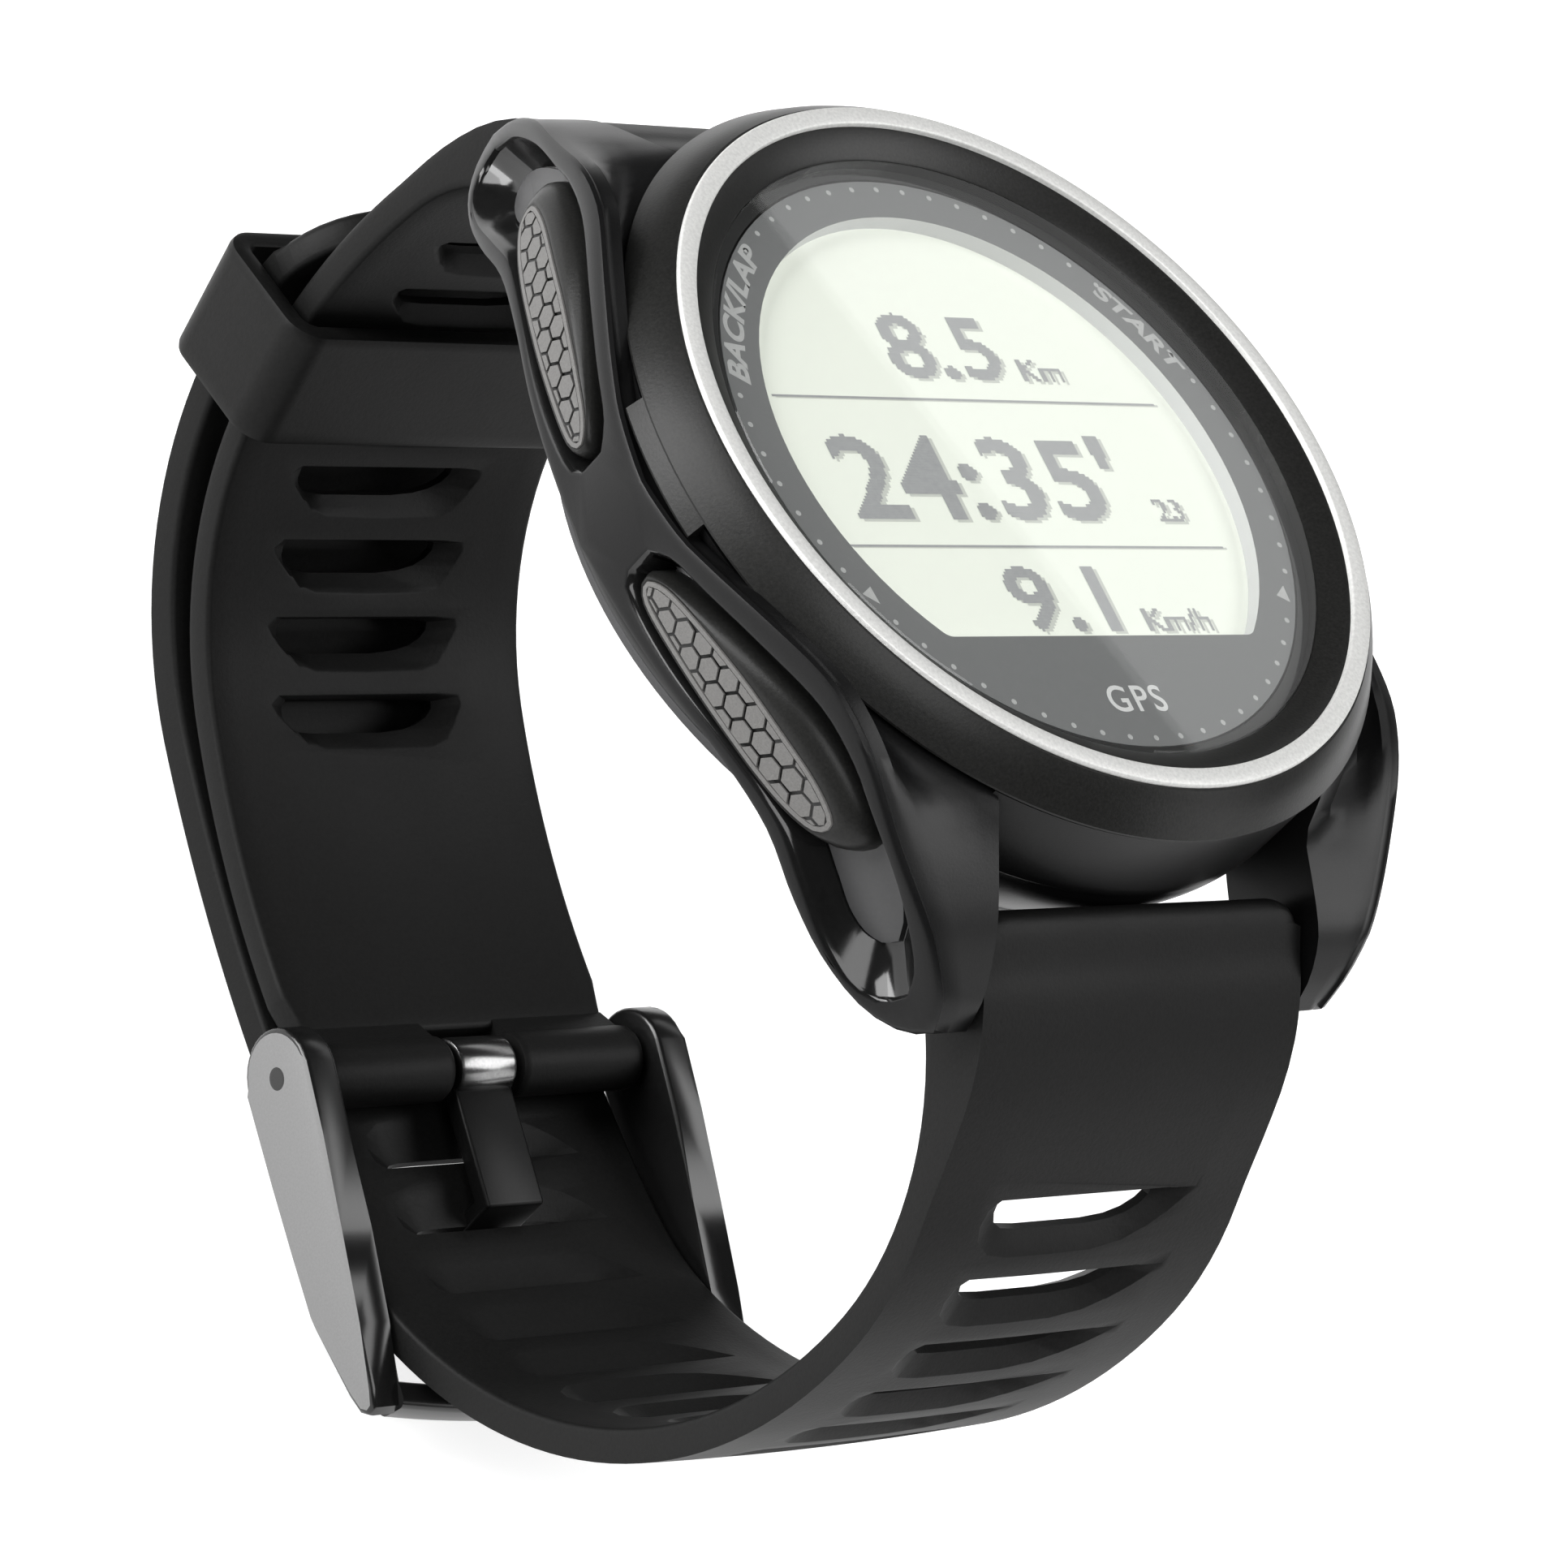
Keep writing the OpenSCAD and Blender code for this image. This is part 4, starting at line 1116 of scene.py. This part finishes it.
def buildTongue():
    thick, half = tongue["thick"], tongue["half"]
    start = longWay["first"] + tongue["slot"] * longWay["pitch"] + tongue["slack"]
    p = [onStrap(longWay, 0, start, h)[1:] for h in (-1.35, tongue["clear"])]
    q = [onStrap(longWay, 0, start + thick, h)[1:] for h in (tongue["clear"] + thick, -0.45)]
    over = (buckle["bar"][0] - 1.2, buckle["bar"][1] - 1.35)
    line = [(pinAt[0], pinAt[1] + 0.6), *p, over, (over[0], over[1] - thick), *q,
            (pinAt[0], pinAt[1] - 0.6)]
    bm = bmesh.new()
    prism(bm, line, -half, half, lambda a, b, x: (x, a, b))
    bmesh.ops.recalc_face_normals(bm, faces=bm.faces)
    roundOff(bm, hardEdges(bm, 20), 0.2, 3)
    # the eye round the pin
    eye = ((-half, 1.4), (0.1 - half, 1.6), (0.3 - half, 1.65), (half - 0.3, 1.65), (half - 0.1, 1.6),
           (half, 1.4))
    loft(bm, [circle(x, pinAt, r, 32) for x, r in eye], material=1)
    link("buckleTongue", bm, [tonguePaint, eyePaint], "tongue", ["buckle_tongue"], sharp=40)


buildBuckle()
buildTongue()
print("keeper and buckle built")


# the pieces that stay as the CAD part has them only get a finish
finishes = {
    "buckle_pin": steelPaint, "spring_bar_12": steelPaint, "spring_bar_6": steelPaint,
    "back_screws": steelPaint, "charge_contacts": goldPaint, "rear_cover": coverPaint,
    "back_gasket": gasketPaint, "bezel_gasket": gasketPaint, "lens_gasket": gasketPaint,
    "backlight": glowingFacePaint, "display_flex": flexPaint, "chassis": innerPaint,
    "gps_antenna": goldPaint, "main_board": boardPaint, "shield_can": steelPaint,
    "vibration_motor": steelPaint, "battery": cellPaint, "side_switches": innerPaint,
}
for hour in (2, 4, 8, 10):
    finishes[f"button_seal_{hour}"] = gasketPaint
    finishes[f"button_clip_{hour}"] = steelPaint
    finishes[f"button_spring_{hour}"] = steelPaint
for name, paint in finishes.items():
    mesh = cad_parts[name].data
    mesh.materials.clear()
    mesh.materials.append(paint)
    mesh.shade_smooth()
    mesh.set_sharp_from_angle(angle=radians(30))


studio = {
    "floorHeight": -47.6,
    "floorGlow": 0.80,
    "worldStrength": 0.05,
    "keyPower": 4.0,
    "fillPower": 3.2,
    "lowPower": 0.7,
    "sidePower": 4.0,
    "railPower": 4.0,
    "glarePower": 0.20,
    "lens": 157.66,
    "eye": (-0.2387, -0.1452, 0.2023),
    "forward": (0.6811, 0.4040, -0.6107),
    "upward": (0.0196, 0.8236, 0.5668),
}

bm = bmesh.new()
bmesh.ops.create_grid(bm, x_segments=1, y_segments=1, size=6)
bmesh.ops.translate(bm, verts=bm.verts, vec=(0, 0, studio["floorHeight"] * mm))
floorMesh = bpy.data.meshes.new("floor")
bm.to_mesh(floorMesh)
bm.free()
floor = put("floor", floorMesh)
floorWhite = Paint("floorWhite", (0.55, 0.55, 0.55), 0.9, Emission_Color=(1, 1, 1, 1),
                   Emission_Strength=studio["floorGlow"])
floorMesh.materials.append(floorWhite.material)

world = bpy.data.worlds.new("studio")
world.use_nodes = True
background = world.node_tree.nodes["Background"]
background.inputs["Color"].default_value = (1, 1, 1, 1)
background.inputs["Strength"].default_value = studio["worldStrength"]
bpy.context.scene.world = world


def softbox(name, position, target, width, height, power, across=None):
    light = bpy.data.lights.new(name, "AREA")
    light.shape = "RECTANGLE"
    light.size = width
    light.size_y = height
    light.energy = power
    lamp = put(name, light)
    lamp.location = position
    lamp.rotation_mode = "QUATERNION"
    back = (Vector(position) - Vector(target)).normalized()
    if across:
        side = (Vector(across) - back * back.dot(Vector(across))).normalized()
        lamp.rotation_quaternion = Matrix((side, back.cross(side), back)).transposed().to_quaternion()
    else:
        lamp.rotation_quaternion = (-back).to_track_quat("-Z", "Y")


softbox("key", (-0.30, -0.35, 0.75), (0, 0, -0.01), 0.55, 0.55, studio["keyPower"])
softbox("fill", (0.55, -0.22, 0.58), (0, 0, -0.02), 0.45, 0.45, studio["fillPower"])
softbox("low", (0.55, -0.55, 0.20), (0, 0, -0.01), 0.35, 0.35, studio["lowPower"])
softbox("side", (-0.58, 0.32, 0.42), (0, 0, -0.01), 0.40, 0.40, studio["sidePower"])
softbox("rail", (-0.60, 0.35, 0.10), (0, 0, 0.005), 0.40, 0.26, studio["railPower"])
softbox("glare", (0.458, 0.270, 0.304), (0.037, 0.013, -0.051), 0.13, 0.40, studio["glarePower"],
        across=(0.584, 0.201, -0.784))

camera = bpy.data.cameras.new("camera")
camera.sensor_width = 36
camera.lens = studio["lens"]
camera.clip_start = 0.01
camera.clip_end = 20
eye = put("camera", camera)
forward = Vector(studio["forward"]).normalized()
rightward = forward.cross(Vector(studio["upward"])).normalized()
upward = rightward.cross(forward).normalized()
turn = Matrix((rightward, upward, -forward)).transposed().to_4x4()
eye.matrix_world = Matrix.Translation(studio["eye"]) @ turn
bpy.context.scene.camera = eye
bpy.context.scene.view_settings.view_transform = "Standard"
print("studio ready")
